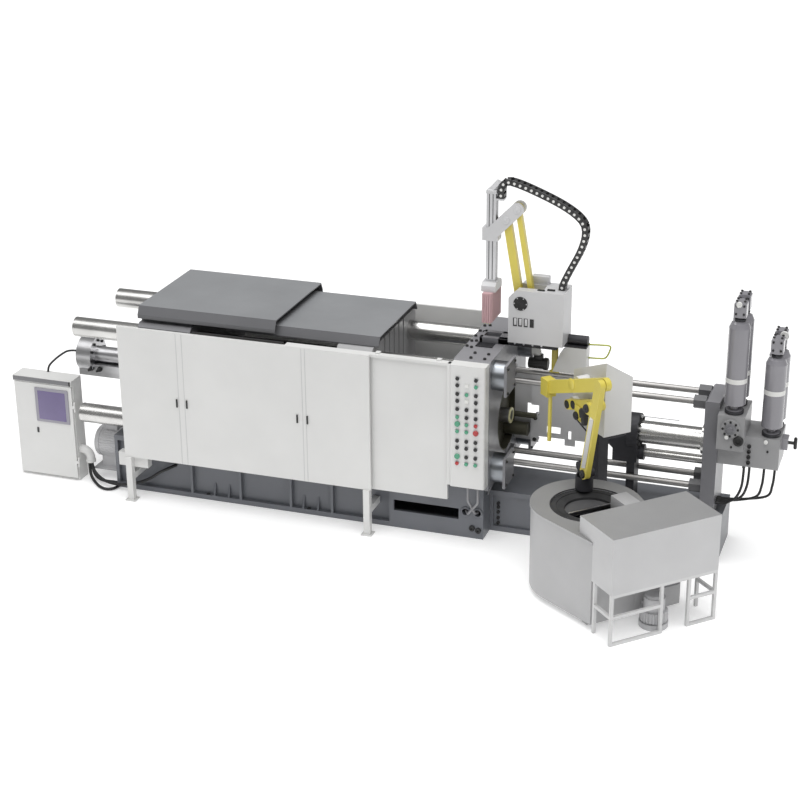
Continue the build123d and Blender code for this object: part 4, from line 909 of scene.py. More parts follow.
def cover_pieces():
    """Dark strips that carry the upper roof cover on the rear platen, one on each side."""
    x0, x1 = ROOF_STRIP_X
    z0, z1 = ROOF_STRIP_Z
    near, far = ROOF_STRIP_Y
    strips = []
    for y0, y1 in ((-far, -near), (near, far)):
        strips.append(soft_block((x0, y0, z0), (x1, y1, z1), ROOF_STRIP_EDGE))
    piece("cover_supports", strips, "cover paint with painted light on top")


# Fixed platen
BAR_OFF = 0.540
CAP_X = 0.590
CAP_SCREW_OFF = 0.140
CAP_SCREW_R = 0.016
PLATEN_TOP = 2.170
TOP_SCREW_R = 0.018
TOP_SCREWS = (
    (0.031, -0.155), (0.080, -0.139), (0.028, -0.321), (0.085, -0.346), (0.027, 0.011), (0.030, 0.179),
    (0.080, 0.163), (0.030, 0.357), (0.084, 0.384), (0.174, -0.505), (0.327, -0.505), (0.174, -0.660),
    (0.326, -0.654),
)
POCKET = (0.114, 0.305, -0.300, -0.153)
POCKET_FLOOR = 0.003
POCKET_FLOOR_EDGE = 0.001
POCKET_WALL = 0.018
POCKET_LIP = 0.012
POCKET_EDGE = 0.002


def platen_pieces():
    """Cap plate screws, the screws along the platen's top and the dark pocket there."""
    places = []
    for sy, sz in CORNERS:
        for a, b in CORNERS:
            y = sy * BAR_OFF + a * CAP_SCREW_OFF
            places.append((CAP_X, y, AXIS_Z + sz * BAR_OFF + b * CAP_SCREW_OFF))
    screws = screws_at(places, RIGHT, CAP_SCREW_R)
    screws += screws_at([(x, y, PLATEN_TOP) for x, y in TOP_SCREWS], UP, TOP_SCREW_R)
    piece("platen_screws", screws, "black plastic")
    x0, x1, y0, y1 = POCKET
    pocket = [
        raised_plate(POCKET, PLATEN_TOP, POCKET_FLOOR, POCKET_FLOOR_EDGE),
        raised_plate((x0, x0 + POCKET_WALL, y0, y1), PLATEN_TOP, POCKET_LIP, POCKET_EDGE),
        raised_plate((x0, x1, y0, y0 + POCKET_WALL), PLATEN_TOP, POCKET_LIP, POCKET_EDGE),
    ]
    piece("platen_pocket", pocket, "blackened steel")


# Machine base
BASE_FRONT = -0.615
FOOT_FLANGE_Z = 0.060
PORT_X = (0.115, 0.256)
PORT_Z = 0.322
PORT_COLLAR = ((0.0, 0.040), (0.0, 0.060), (0.010, 0.060), (0.018, 0.052), (0.018, 0.040), (0.0, 0.040))
WEB_X = 0.412
WEB_Y = -0.325
WEB_BOLT_Z = (0.335, 0.290, 0.228, 0.157, 0.095, 0.040)
WEB_BOLT_R = 0.020
ANCHOR_X = (-4.05, -3.05, -1.78, -0.60, 0.22)
ANCHOR_IN = 0.026
ANCHOR_R = 0.018
LUGS = ((0.190, 0.125), (0.262, 0.105))
LUG = (
    (0.0, 0.0), (0.0, 0.034), (0.018, 0.034), (0.026, 0.026), (0.026, 0.014), (0.012, 0.014), (0.012, 0.0),
)
FIN_X = (-0.715, -0.550)
FIN_HALF = 0.008
FIN_IN = 0.008
FIN_BACK_Y = -0.558
FIN_TOP = 0.190
FIN_EDGE = 0.003
RISER_Y = -0.48
RISER = ((0.568, 1.147), (0.518, 1.011), (0.443, 0.814), (0.394, 0.686), (0.330, 0.50))
RISER_R = 0.011


def base_pieces():
    """Port collars, bolt column, anchor bolts, lugs, fins and the riser pipe beside the platen."""
    collars = [turned_form((x, BASE_FRONT, PORT_Z), FRONT, PORT_COLLAR, count=24) for x in PORT_X]
    piece("base_port_collars", collars, "base paint")
    bolts = screws_at([(WEB_X, WEB_Y, z) for z in WEB_BOLT_Z], FRONT, WEB_BOLT_R)
    anchors = [(x, BASE_FRONT + ANCHOR_IN, FOOT_FLANGE_Z) for x in ANCHOR_X]
    bolts += bolts_at(anchors, UP, ANCHOR_R)
    bolts += [turned_form((x, BASE_FRONT, z), FRONT, LUG, count=20) for x, z in LUGS]
    piece("base_bolts", bolts, "black plastic")
    fins = []
    for x in FIN_X:
        low = (x - FIN_HALF, BASE_FRONT + FIN_IN, FOOT_FLANGE_Z)
        fins.append(soft_block(low, (x + FIN_HALF, FIN_BACK_Y, FIN_TOP), FIN_EDGE))
    piece("base_fins", fins, "base paint")
    riser = tube_form(smooth_line(upright_line(RISER, RISER_Y), count=6), RISER_R, BACK)
    piece("riser_pipe", [riser], "strip grey")


class DIECAST_OT_clamp_unit(bpy.types.Operator):
    """Bolts, plugs, motor and base fittings of the clamp unit."""

    bl_idname = "diecast.clamp_unit"
    bl_label = "Clamp unit fittings"

    def execute(self, context):
        clamp_pieces()
        cover_pieces()
        platen_pieces()
        base_pieces()
        return {"FINISHED"}


# Injection cylinder and rear panel
SHOT_Z = 1.282
SLEEVE_X = 0.455
SLEEVE_RING = (
    (-0.012, 0.070), (-0.012, 0.090), (0.0, 0.090), (0.005, 0.086), (0.005, 0.060), (0.0, 0.060),
    (-0.012, 0.070),
)
HEAD_FACE_X = 1.915
LARGE_RING_R = 0.163
LARGE_RING_BOLTS = 12
LARGE_RING_PHASE = 0.13
LARGE_BOLT_R = 0.020
SMALL_Z = 1.040
SMALL_RING_R = 0.070
SMALL_RING_BOLTS = 6
SMALL_RING_PHASE = 0.3
SMALL_BOLT_R = 0.013
PANEL_FRONT_Y = 0.255
PANEL_BOLTS = ((0.665, 1.171), (0.660, 0.909), (1.420, 1.200), (1.420, 0.940))
PANEL_BOLT_R = 0.018
SCALE_LINE = ((1.920, -0.020, 1.470), (2.130, -0.020, 1.470), (2.341, -0.020, 1.470))
SCALE_R = 0.006
SCALE_CLIP = ((1.915, -0.034, 1.440), (1.935, -0.006, 1.482))
SCALE_EDGE = 0.004


def injection_pieces():
    """Brass ring at the pouring end, flange bolts, the panel's bolts and the stroke scale."""
    ring = turned_form((SLEEVE_X, 0.0, SHOT_Z), RIGHT, SLEEVE_RING, count=40)
    piece("sleeve_ring", [ring], "sleeve brass")
    large = side_ring((HEAD_FACE_X, 0.0, SHOT_Z), LARGE_RING_R, LARGE_RING_BOLTS, LARGE_RING_PHASE)
    small = side_ring((HEAD_FACE_X, 0.0, SMALL_Z), SMALL_RING_R, SMALL_RING_BOLTS, SMALL_RING_PHASE)
    bolts = screws_at(large, RIGHT, LARGE_BOLT_R)
    bolts += screws_at(small, RIGHT, SMALL_BOLT_R)
    bolts += bolts_at(upright_line(PANEL_BOLTS, PANEL_FRONT_Y), FRONT, PANEL_BOLT_R)
    piece("injection_bolts", bolts, "black plastic")
    scale = [tube_form(SCALE_LINE, SCALE_R, UP), soft_block(*SCALE_CLIP, SCALE_EDGE)]
    piece("stroke_scale", scale, "fitting steel")


# Valve manifold and its tower
MANIFOLD_Y = -0.230
TOWER_Y = -0.380
MANIFOLD_BOLT_X = 3.130
MANIFOLD_BOLT_Z = (1.361, 1.298, 1.236, 1.173)
MANIFOLD_BOLT_R = 0.022
SMALL_SCREWS = ((3.324, MANIFOLD_Y, 1.323), (2.961, TOWER_Y, 1.394))
SMALL_SCREW_R = 0.012
TOWER_COVER_AT = (2.9425, -0.410, 1.605)
TOWER_COVER_RING_R = 0.080
TOWER_COVER_SCREWS = 8
TOWER_COVER = (
    (0.0, 0.0), (0.0, 0.060), (0.012, 0.060), (0.018, 0.050), (0.018, 0.030), (0.034, 0.028), (0.034, 0.0),
)
TOWER_PORT_AT = (3.030, TOWER_Y, 1.469)
TOWER_PORT = (
    (0.0, 0.0), (0.0, 0.055), (0.020, 0.055), (0.026, 0.048), (0.026, 0.030), (0.010, 0.030), (0.010, 0.0),
)
KNOB_AT = ((2.908, TOWER_Y, 1.509), (3.302, MANIFOLD_Y, 1.442))
KNOB = (
    (0.0, 0.0), (0.0, 0.014), (0.020, 0.014), (0.022, 0.022), (0.040, 0.022), (0.046, 0.014), (0.046, 0.0),
)
PIPE_X = (3.080, 3.133, 3.284, 3.392)
PIPE_Y = (-0.165, -0.122, -0.078, -0.035)
PIPE_DROP = ((0.0, 1.125), (0.0, 1.000), (-0.012, 0.850), (-0.060, 0.720))
PIPE_END_X = 2.800
PIPE_END_Z = 0.627
PIPE_SWEEP_UP = 0.025
PIPE_STRAIGHT = 0.090
PIPE_SINK = 0.005
PIPE_NUT_Z = 1.120
PIPE_NUT = ((0.0, 0.0), (0.0, 0.020), (0.040, 0.020), (0.046, 0.016), (0.046, 0.0))
TEE_AT = (3.583, 0.0, 1.295)
TEE_GRIP = ((0.0, 0.0), (0.0, 0.014), (0.012, 0.019), (0.118, 0.019), (0.130, 0.014), (0.130, 0.0))
STEM_AT = (3.512, 0.0, 1.360)
STEM_R = 0.018
STEM_L = 0.060


def pipe_line(x, y):
    """Route of one pipe: down from the manifold, then in one sweep to the end plate."""
    drop = [(x + off, z) for off, z in PIPE_DROP]
    sweep = ((x + PIPE_END_X) / 2, PIPE_END_Z + PIPE_SWEEP_UP)
    end = [(PIPE_END_X + PIPE_STRAIGHT, PIPE_END_Z), (PIPE_END_X - PIPE_SINK, PIPE_END_Z)]
    return smooth_line(upright_line([*drop, sweep, *end], y), count=8)


def manifold_pieces():
    """Bolts, port, plugs, tower cover, pipes and the tee grip of the valve manifold."""
    bolts = screws_at([(MANIFOLD_BOLT_X, MANIFOLD_Y, z) for z in MANIFOLD_BOLT_Z], FRONT, MANIFOLD_BOLT_R)
    bolts += screws_at(SMALL_SCREWS, FRONT, SMALL_SCREW_R)
    cover_ring = front_ring(TOWER_COVER_AT, TOWER_COVER_RING_R, TOWER_COVER_SCREWS)
    bolts += screws_at(cover_ring, FRONT, SMALL_SCREW_R)
    bolts.append(turned_form(TOWER_PORT_AT, FRONT, TOWER_PORT, count=28))
    piece("manifold_bolts", bolts, "black plastic")
    piece("manifold_plugs", [turned_form(at, FRONT, KNOB, count=16) for at in KNOB_AT], "band white")
    piece("tower_cover", [turned_form(TOWER_COVER_AT, FRONT, TOWER_COVER, count=24)], "platen paint with painted light on top")
    pipes = []
    for x, y in zip(PIPE_X, PIPE_Y):
        pipes.append(tube_form(pipe_line(x, y), sizes().pipe, BACK, count=14))
        pipes.append(turned_form((x, y, PIPE_NUT_Z), DOWN, PIPE_NUT, count=6))
        pipes.append(turned_form((PIPE_END_X, y, PIPE_END_Z), RIGHT, PIPE_NUT, count=6))
    piece("manifold_pipes", pipes, "cable sheath")
    handle = [
        turned_form(TEE_AT, UP, TEE_GRIP, count=16),
        turned_form(STEM_AT, RIGHT, disc_profile(STEM_R, 0.0, STEM_L), count=16),
    ]
    piece("tee_grip", handle, "black plastic")


# Accumulators: place, foot, shoulder and band level of each bottle
BOTTLES = (
    (2.950, -0.260, 1.740, 2.770, 2.119),
    (2.950, -0.005, 1.740, 2.770, 2.119),
    (3.335, -0.110, 1.470, 2.360, 1.976),
    (3.335, 0.145, 1.470, 2.360, 1.976),
)
BOTTLE_R = 0.112
BAND_IN = 0.002
BAND_OUT = 0.0015
HOOP_UP = 0.008
HOOP = ring_profile(0.080, 0.100, 0.0, 0.030)
NECK_UP = 0.004
NECK = ((0.0, 0.044), (0.0, 0.060), (0.018, 0.062), (0.026, 0.050), (0.026, 0.044), (0.0, 0.044))
NECK_H = 0.045
VALVE_H = 0.170
VALVE_HALF = 0.065
VALVE_TOP_OFF = 0.042
VALVE_TOP_R = 0.014
VALVE_SIDE_OFF = (0.040, 0.045)
VALVE_SIDE_DOWN = 0.085
VALVE_SIDE_R = 0.012
# Place and radius of each gauge, and its profile as reach and distance in from the radius
GAUGES = ((2.939, -0.325, 2.961, 0.030), (3.375, 0.080, 2.530, 0.048))
GAUGE_RIM = ((0.0, 0.0), (0.022, 0.0), (0.026, 0.004), (0.022, 0.006))
GAUGE_DIAL = 0.022


def gauge_form(x, y, z, radius):
    """Round gauge with a raised rim about its dial."""
    rim = [(reach, radius - inset) for reach, inset in GAUGE_RIM]
    return turned_form((x, y, z), FRONT, [(0.0, 0.0), *rim, (GAUGE_DIAL, 0.0)], count=32)


def accumulator_pieces():
    """Pale band, foot hoop, neck ring and valve screws of each gas bottle, and the gauges."""
    half = sizes().band
    band = ring_profile(BOTTLE_R - BAND_IN, BOTTLE_R + BAND_OUT, -half, half)
    bands, rings, screws = [], [], []
    for x, y, foot, shoulder, level in BOTTLES:
        bands.append(turned_form((x, y, level), UP, band, count=48))
        rings.append(turned_form((x, y, foot + HOOP_UP), UP, HOOP, count=32))
        rings.append(turned_form((x, y, shoulder + NECK_UP), UP, NECK, count=28))
        top = shoulder + NECK_H + VALVE_H
        for a, b in CORNERS:
            upper = (x + a * VALVE_TOP_OFF, y + b * VALVE_TOP_OFF, top)
            screws += screws_at([upper], UP, VALVE_TOP_R)
            level_z = top - VALVE_SIDE_DOWN + b * VALVE_SIDE_OFF[1]
            screws += screws_at([(x + a * VALVE_SIDE_OFF[0], y - VALVE_HALF, level_z)], FRONT, VALVE_SIDE_R)
    piece("bottle_bands", bands, "band white")
    piece("bottle_rings", rings, "blackened steel")
    piece("valve_screws", screws, "black plastic")
    piece("valve_gauges", [gauge_form(*row) for row in GAUGES], "band white")


class DIECAST_OT_injection_unit(bpy.types.Operator):
    """Bolts, ports, bands, gauges and pipes of the injection unit."""

    bl_idname = "diecast.injection_unit"
    bl_label = "Injection unit fittings"

    def execute(self, context):
        injection_pieces()
        manifold_pieces()
        accumulator_pieces()
        return {"FINISHED"}


# Furnace, in its own (v, u, z) frame at 45 degrees to the machine
TURN = 1.0 / math.sqrt(2.0)
FURNACE_AT = (2.187, 0.205)
FURNACE_TOP = 0.995
WELL_R = 0.349
POT_R = 0.262
POT_COLLAR = (
    (-0.075, POT_R), (-0.075, WELL_R), (-0.022, WELL_R), (-0.018, WELL_R - 0.006), (-0.040, POT_R),
    (-0.075, POT_R),
)
WELL_COVER_DOWN = 0.085
WELL_COVER_T = 0.020
WELL_COVER_GAP = 0.002
WELL_EDGE_V = (-0.010, 0.012)
WELL_EDGE_GAP = 0.004
WELL_EDGE_H = 0.050
WELL_EDGE_ROUND = 0.005
WELL_LIP = ring_profile(0.405, 0.416, 0.0, 0.006)
WELL_LIP_DOWN = 0.002
RIM_BLOCK = (2.347, 2.692, 0.352, 0.541)
RIM_BLOCK_H = 0.148
RIM_BLOCK_EDGE = 0.006
REAR_CASE = ((2.560, 0.300, 0.050), (2.944, 0.860, 0.560))
REAR_CASE_EDGE = 0.008


def turned_set(forms):
    """Forms drawn in the furnace's own frame, turned by 45 degrees into the machine's."""
    spin = np.array([[TURN, -TURN, 0.0], [TURN, TURN, 0.0], [0.0, 0.0, 1.0]])
    return [(points @ spin, quads) for points, quads in forms]


def half_disc(centre, radius, thick, count=32):
    """Half disc: rings of p(t) = r (cos t, sin t) for t over the far half, closed along its straight edge."""
    v, u, z = centre
    t = np.linspace(np.pi / 2, 3 * np.pi / 2, count)
    rim = np.stack([v + radius * np.cos(t), u + radius * np.sin(t)], -1)
    middle = np.repeat([[v - radius / 3, u]], count, 0)
    rows = [(middle, z), (rim, z), (rim, z + thick), (middle, z + thick)]
    points = np.stack([np.hstack([flat, np.full((count, 1), level)]) for flat, level in rows])
    return points.reshape(-1, 3), grid_quads(4, count)


def well_pieces():
    """Crucible collar with its half cover in the well, the lip round it, the rim block and the rear case."""
    v, u = FURNACE_AT
    collar = turned_form((v, u, FURNACE_TOP), UP, POT_COLLAR, count=64)
    piece("crucible_collar", turned_set([collar]), "furnace lining")
    lid_z = FURNACE_TOP - WELL_COVER_DOWN
    lid = half_disc((v, u, lid_z), POT_R - WELL_COVER_GAP, WELL_COVER_T)
    piece("well_cover", turned_set([lid]), "well plate")
    reach = POT_R - WELL_EDGE_GAP
    spans = (v + WELL_EDGE_V[0], v + WELL_EDGE_V[1], u - reach, u + reach)
    edge = raised_plate(spans, lid_z, WELL_EDGE_H, WELL_EDGE_ROUND)
    piece("well_cover_edge", turned_set([edge]), "fitting steel")
    lip = turned_form((v, u, FURNACE_TOP - WELL_LIP_DOWN), UP, WELL_LIP, count=72)
    piece("well_lip", turned_set([lip]), "blackened steel")
    block = raised_plate(RIM_BLOCK, FURNACE_TOP, RIM_BLOCK_H, RIM_BLOCK_EDGE)
    piece("rim_slab", turned_set([block]), "rim grey and lightened platen")
    piece("rear_case", turned_set([soft_block(*REAR_CASE, REAR_CASE_EDGE)]), "furnace paint")


# Blower and gas train
BLOWER_AT = (3.120, 0.420, 0.0)
BLOWER_SPAN = (0.075, 0.185)
BLOWER_R = 0.138
BLOWER_FIN_H = 0.014
BLOWER_FINS = 26
BLOWER_CROWN = ((0.300, 0.0), (0.300, 0.100), (0.345, 0.100), (0.360, 0.085), (0.360, 0.0))
GAS_V = 3.000
GAS_U = (0.500, 0.820)
GAS_Z = 0.380
GAS_R = 0.018
GAS_VALVE_U = (0.580, 0.740)
GAS_VALVE_BODY = disc_profile(0.034, -0.040, 0.040)
GAS_VALVE_STEM = ((0.0, 0.0), (0.0, 0.010), (0.050, 0.010), (0.052, 0.036), (0.062, 0.036), (0.062, 0.0))
GAS_VALVE_STEM_UP = 0.025
GAS_PLATE = ((2.942, 0.520, 0.300), (2.985, 0.820, 0.470))
GAS_PLATE_EDGE = 0.006


def burner_pieces():
    """Fins and crown of the blower, and the gas pipe with its two valves on a plate."""
    blower = [
        ribbed_form(BLOWER_AT, UP, BLOWER_SPAN, BLOWER_R, BLOWER_FIN_H, BLOWER_FINS),
        turned_form(BLOWER_AT, UP, BLOWER_CROWN, count=32),
    ]
    piece("blower_fins", turned_set(blower), "motor grey")
    train = [straight_tube((GAS_V, GAS_U[0], GAS_Z), (GAS_V, GAS_U[1], GAS_Z), GAS_R, UP)]
    for u in GAS_VALVE_U:
        train.append(turned_form((GAS_V, u, GAS_Z), BACK, GAS_VALVE_BODY, count=18))
        train.append(turned_form((GAS_V, u, GAS_Z + GAS_VALVE_STEM_UP), UP, GAS_VALVE_STEM, count=18))
    train.append(soft_block(*GAS_PLATE, GAS_PLATE_EDGE))
    piece("gas_train", turned_set(train), "strip grey")


class DIECAST_OT_furnace(bpy.types.Operator):
    """Crucible, cover, rear case, blower and gas fittings of the furnace."""

    bl_idname = "diecast.furnace"
    bl_label = "Furnace fittings"

    def execute(self, context):
        well_pieces()
        burner_pieces()
        return {"FINISHED"}


# Ladle robot, in the furnace's frame
LADLE_PIVOTS = {
    "ladle_link": ((1.379, 1.787), (1.500, 1.8275)),
    "ladle_forearm": ((1.986, 1.990), (1.955, 1.240)),
}
LADLE_FACE_U = {"ladle_link": 0.389, "ladle_forearm": 0.251}
LADLE_CAP_H = {"ladle_link": 0.009, "ladle_forearm": 0.026}
# Profile with its reach in shares of the cap's height and its radius in metres
PIVOT_CAP = np.array([
    (0.0, 0.0), (0.0, 0.046), (0.46, 0.046), (0.77, 0.038), (0.77, 0.016), (1.0, 0.014), (1.0, 0.0),
])
PIN_COVER_AT = (1.573, 0.317, 2.102)
PIN_COVER = ((0.0, 0.0), (0.0, 0.062), (0.005, 0.062), (0.009, 0.056), (0.009, 0.0))
POUR_BRACKET = ((1.560, 0.372, 1.700), (1.700, 0.389, 1.860))
POUR_BRACKET_EDGE = 0.006
POUR_MOTOR_AT = (1.780, 0.345, 1.900)
POUR_MOTOR_TOWARDS = (0.25, 0.0, -1.0)
POUR_MOTOR = (
    (0.0, 0.0), (0.0, 0.040), (0.020, 0.052), (0.090, 0.052), (0.100, 0.040), (0.170, 0.038), (0.180, 0.028),
    (0.180, 0.0),
)
POUR_PIN_AT = (1.600, 0.372, 1.745)
POUR_PIN_H = 0.026
FOREARM_COVER = ((1.975, 0.247, 1.330), (2.100, 0.247, 1.920))
FOREARM_COVER_R = 0.030
POUR_ROD = ((1.600, 0.352, 1.735), (1.750, 0.348, 1.695), (1.900, 0.345, 1.655))
POUR_ROD_R = 0.008


def ladle_pieces():
    """Pivot caps of the linkage, the pouring motor with its bracket and rod, and the forearm's pale cover."""
    for body, pivots in LADLE_PIVOTS.items():
        profile = PIVOT_CAP * (LADLE_CAP_H[body], 1.0)
        places = upright_line(pivots, LADLE_FACE_U[body])
        caps = [turned_form(at, FRONT, profile, count=24) for at in places]
        piece(body + "_caps", turned_set(caps), "black plastic", body)
    dome = turned_form(PIN_COVER_AT, FRONT, PIN_COVER, count=32)
    piece("arm_pin_cover", turned_set([dome]), "arm paint", "ladle_arm")
    bracket = soft_block(*POUR_BRACKET, POUR_BRACKET_EDGE, axis=1)
    piece("pour_bracket", turned_set([bracket]), "arm paint", "ladle_link")
    motor = [
        turned_form(POUR_MOTOR_AT, POUR_MOTOR_TOWARDS, POUR_MOTOR, count=24),
        turned_form(POUR_PIN_AT, FRONT, PIVOT_CAP * (POUR_PIN_H, 1.0), count=24),
    ]
    piece("pour_motor", turned_set(motor), "black plastic", "ladle_link")
    low, high = np.array(FOREARM_COVER)
    v, _, z = high - low
    cover = straight_tube(low, high, FOREARM_COVER_R, (z, 0.0, -v), count=4)
    piece("forearm_cover", turned_set([cover]), "panel paint", "ladle_forearm")
    piece("pour_rod", turned_set([tube_form(POUR_ROD, POUR_ROD_R, BACK)]), "blackened steel", "ladle_link")


class DIECAST_OT_ladle(bpy.types.Operator):
    """Caps, motor, rod and covers of the ladle robot."""

    bl_idname = "diecast.ladle"
    bl_label = "Ladle robot fittings"

    def execute(self, context):
        ladle_pieces()
        return {"FINISHED"}


# Spray robot's housing
SPRAY_Y = -0.030
HOUSING_Y = -0.215
HOUSING_TOP = 2.830
FAN_AT = (0.592, HOUSING_Y, 2.685)
FAN_R = 0.078
FAN_DISC = (
    (0.0, 0.0), (0.0, FAN_R), (0.006, FAN_R), (0.010, FAN_R - 0.006), (0.004, FAN_R - 0.010), (0.004, 0.0),
)
FAN_HOOPS = (0.020, 0.036, 0.052)
FAN_HOOP_W = 0.005
FAN_HOOP_SPAN = (0.004, 0.009)
FAN_CLIP_RING = 0.068
FAN_CLIPS = 6
FAN_CLIP_OUT = 0.006
FAN_CLIP_R = 0.007
FOOT_SCREW_X = (0.52, 0.62, 0.72, 0.82)
FOOT_SCREW_Y = -0.150
FOOT_SCREW_Z = 2.200
FOOT_SCREW_R = 0.011
SWITCH_X = (0.535, 0.592, 0.655, 0.722)
SWITCH_Z = (2.425, 2.520)
SWITCH_HALF = 0.022
SWITCH_DEPTH = 0.006
SWITCH_EDGE = 0.002
PALE_SWITCHES = 3
SWITCH_PLATE_X = (-0.010, 0.018)
SWITCH_PLATE_Z = (SWITCH_Z[0] + 0.016, SWITCH_Z[1] - 0.004)
SWITCH_PLATE_OUT = 0.004
LID_STRIPS = (((0.860, 0.945, -0.130, -0.100), 0.016), ((0.760, 0.840, -0.160, -0.130), 0.012))
LID_STRIP_EDGE = 0.004
LID_BOX = (0.640, 0.830, 0.060, 0.150)
LID_BOX_H = 0.090
LID_BOX_EDGE = 0.008


def spray_housing_pieces():
    """Fan guard with its clips, foot screws, switches, and the strips and box on the lid."""
    fan = [turned_form(FAN_AT, FRONT, FAN_DISC, count=40)]
    for inner in FAN_HOOPS:
        hoop = ring_profile(inner, inner + FAN_HOOP_W, *FAN_HOOP_SPAN)
        fan.append(turned_form(FAN_AT, FRONT, hoop, count=32))
    piece("spray_fan", fan, "black plastic")
    x, y, z = FAN_AT
    clips = screws_at(front_ring((x, y - FAN_CLIP_OUT, z), FAN_CLIP_RING, FAN_CLIPS), FRONT, FAN_CLIP_R)
    clips += screws_at([(x, FOOT_SCREW_Y, FOOT_SCREW_Z) for x in FOOT_SCREW_X], FRONT, FOOT_SCREW_R)
    piece("spray_fan_clips", clips, "fitting steel")
    frames = []
    for x in SWITCH_X:
        spans = (x - SWITCH_HALF, x + SWITCH_HALF, *SWITCH_Z)
        frames.append(front_plate(spans, HOUSING_Y, SWITCH_DEPTH, SWITCH_EDGE))
    plates = []
    for x in SWITCH_X[:PALE_SWITCHES]:
        spans = (x + SWITCH_PLATE_X[0], x + SWITCH_PLATE_X[1], *SWITCH_PLATE_Z)
        plates.append(front_plate(spans, HOUSING_Y - SWITCH_PLATE_OUT, SWITCH_DEPTH, SWITCH_EDGE))
    piece("spray_switches", frames, "black plastic")
    piece("spray_switch_plates", plates, "light grey paint")
    strips = [raised_plate(spans, HOUSING_TOP, height, LID_STRIP_EDGE) for spans, height in LID_STRIPS]
    piece("spray_lid_strips", strips, "black plastic")
    piece("spray_lid_box", [raised_plate(LID_BOX, HOUSING_TOP, LID_BOX_H, LID_BOX_EDGE)], "light grey paint")


# Spray robot's foot and tank
COOLANT_Y = 0.100
COOLANT_LOOP = (
    (1.285, 2.183), (1.420, 2.192), (1.520, 2.190), (1.518, 2.130), (1.475, 2.050), (1.400, 2.035),
    (1.287, 2.030),
)
COOLANT_R = 0.009
TANK_STRUT = ((0.885, 0.045, 1.845), (0.955, 0.080, 2.171))
TANK_STRUT_EDGE = 0.006
STRUT_FOOT = ((0.865, 0.038, 1.830), (0.975, 0.086, 1.850))
STRUT_FOOT_EDGE = 0.005
FOOT = (0.117, 0.456, -0.153, 0.093)
FORK = (0.152, 0.328, -0.088, 0.028)
FOOT_H = 0.062
FOOT_EDGE = 0.003
HOSE_MOTOR_AT = (0.740, 0.050, 1.920)
HOSE_MOTOR = (
    (-0.110, 0.0), (-0.110, 0.055), (-0.100, 0.062), (0.060, 0.062), (0.066, 0.070), (0.100, 0.070),
    (0.110, 0.060), (0.110, 0.0),
)
# Corners of the motor's box and hanger, from the motor's middle
HOSE_BOX = ((-0.050, -0.030, 0.050), (0.050, 0.030, 0.110))
HOSE_BOX_EDGE = 0.006
HANGER_LOW = (-0.070, -0.045, 0.105)
HANGER_SHELF = (0.030, 0.030, 0.120)
HANGER_PLATE = (0.030, -0.030, 0.252)
HANGER_EDGE = 0.004


def spray_foot_pieces():
    """Coolant loop, tank strut, cover round the forked foot, and the hose motor on its hanger."""
    loop = tube_form(smooth_line(upright_line(COOLANT_LOOP, COOLANT_Y), count=8), COOLANT_R, BACK, count=10)
    piece("coolant_loop", [loop], "pipe yellow")
    strut = [soft_block(*TANK_STRUT, TANK_STRUT_EDGE), soft_block(*STRUT_FOOT, STRUT_FOOT_EDGE)]
    piece("tank_strut", strut, "arm paint")
    x0, x1, y0, y1 = FOOT
    fork_x0, fork_x1, fork_y0, fork_y1 = FORK
    walls = ((x0, fork_x0, y0, y1), (x0, x1, y0, fork_y0), (x0, x1, fork_y1, y1), (fork_x1, x1, y0, y1))
    piece("spray_foot_cover", [raised_plate(w, PLATEN_TOP, FOOT_H, FOOT_EDGE) for w in walls], "platen paint with painted light on top")
    motor = [
        turned_form(HOSE_MOTOR_AT, RIGHT, HOSE_MOTOR, count=28),
        soft_block(*np.add(HOSE_MOTOR_AT, HOSE_BOX), HOSE_BOX_EDGE),
    ]
    piece("hose_motor", motor, "black plastic")
    low = np.add(HOSE_MOTOR_AT, HANGER_LOW)
    far_corners = [np.add(HOSE_MOTOR_AT, high) for high in (HANGER_PLATE, HANGER_SHELF)]
    hanger = [soft_block(low, high, HANGER_EDGE) for high in far_corners]
    piece("hose_motor_hanger", hanger, "panel paint")


# Spray robot's boom
POST_X = 0.213
POST_TOP = 3.865
POST_HALF = 0.0525
POST_SLOT_Z = ((2.880, 3.312), (3.470, 3.845))
POST_SLOT_OFF = (-0.020, 0.020)
POST_SLOT_HALF = 0.005
POST_SLOT_T = 0.0015
POST_SLOT_EDGE = 0.0006
PROP_DOWN = 0.010
PROP_REACH = 0.090
PROP_R = 0.050
PROP_COLLAR_HALF = 0.058
PROP_COLLAR_DOWN = 0.030
PROP_COLLAR_H = 0.042
PROP_COLLAR_EDGE = 0.005
BEAM_TURN = math.radians(45.7)
BEAM_FOOT_Z = 3.390
BEAM_PINS = (0.240, 0.415)
BEAM_PIN = (
    (0.0, 0.0), (0.0, 0.044), (0.003, 0.044), (0.006, 0.040), (0.006, 0.012), (0.010, 0.010), (0.010, 0.0),
)
ARM_HALF = 0.035
ARM_GAP = 0.006
CHEEK_T = 0.030
CHEEK_Y = SPRAY_Y - ARM_HALF - ARM_GAP - CHEEK_T
HEAD_Z = (2.425, 2.760)
HEAD_FRONT = -0.220
TUBE_END = 0.004
FRONT_TUBES = (-0.038, -0.013, 0.013, 0.038)
SIDE_TUBE_X = 0.052
SIDE_TUBES = np.linspace(-0.195, 0.135, 12)
NOZZLE_X = (-0.030, 0.0, 0.030)
NOZZLE_Y = np.linspace(-0.190, 0.130, 8)
NOZZLE = ((0.0, 0.0), (0.0, 0.010), (0.012, 0.010), (0.022, 0.005), (0.022, 0.0))


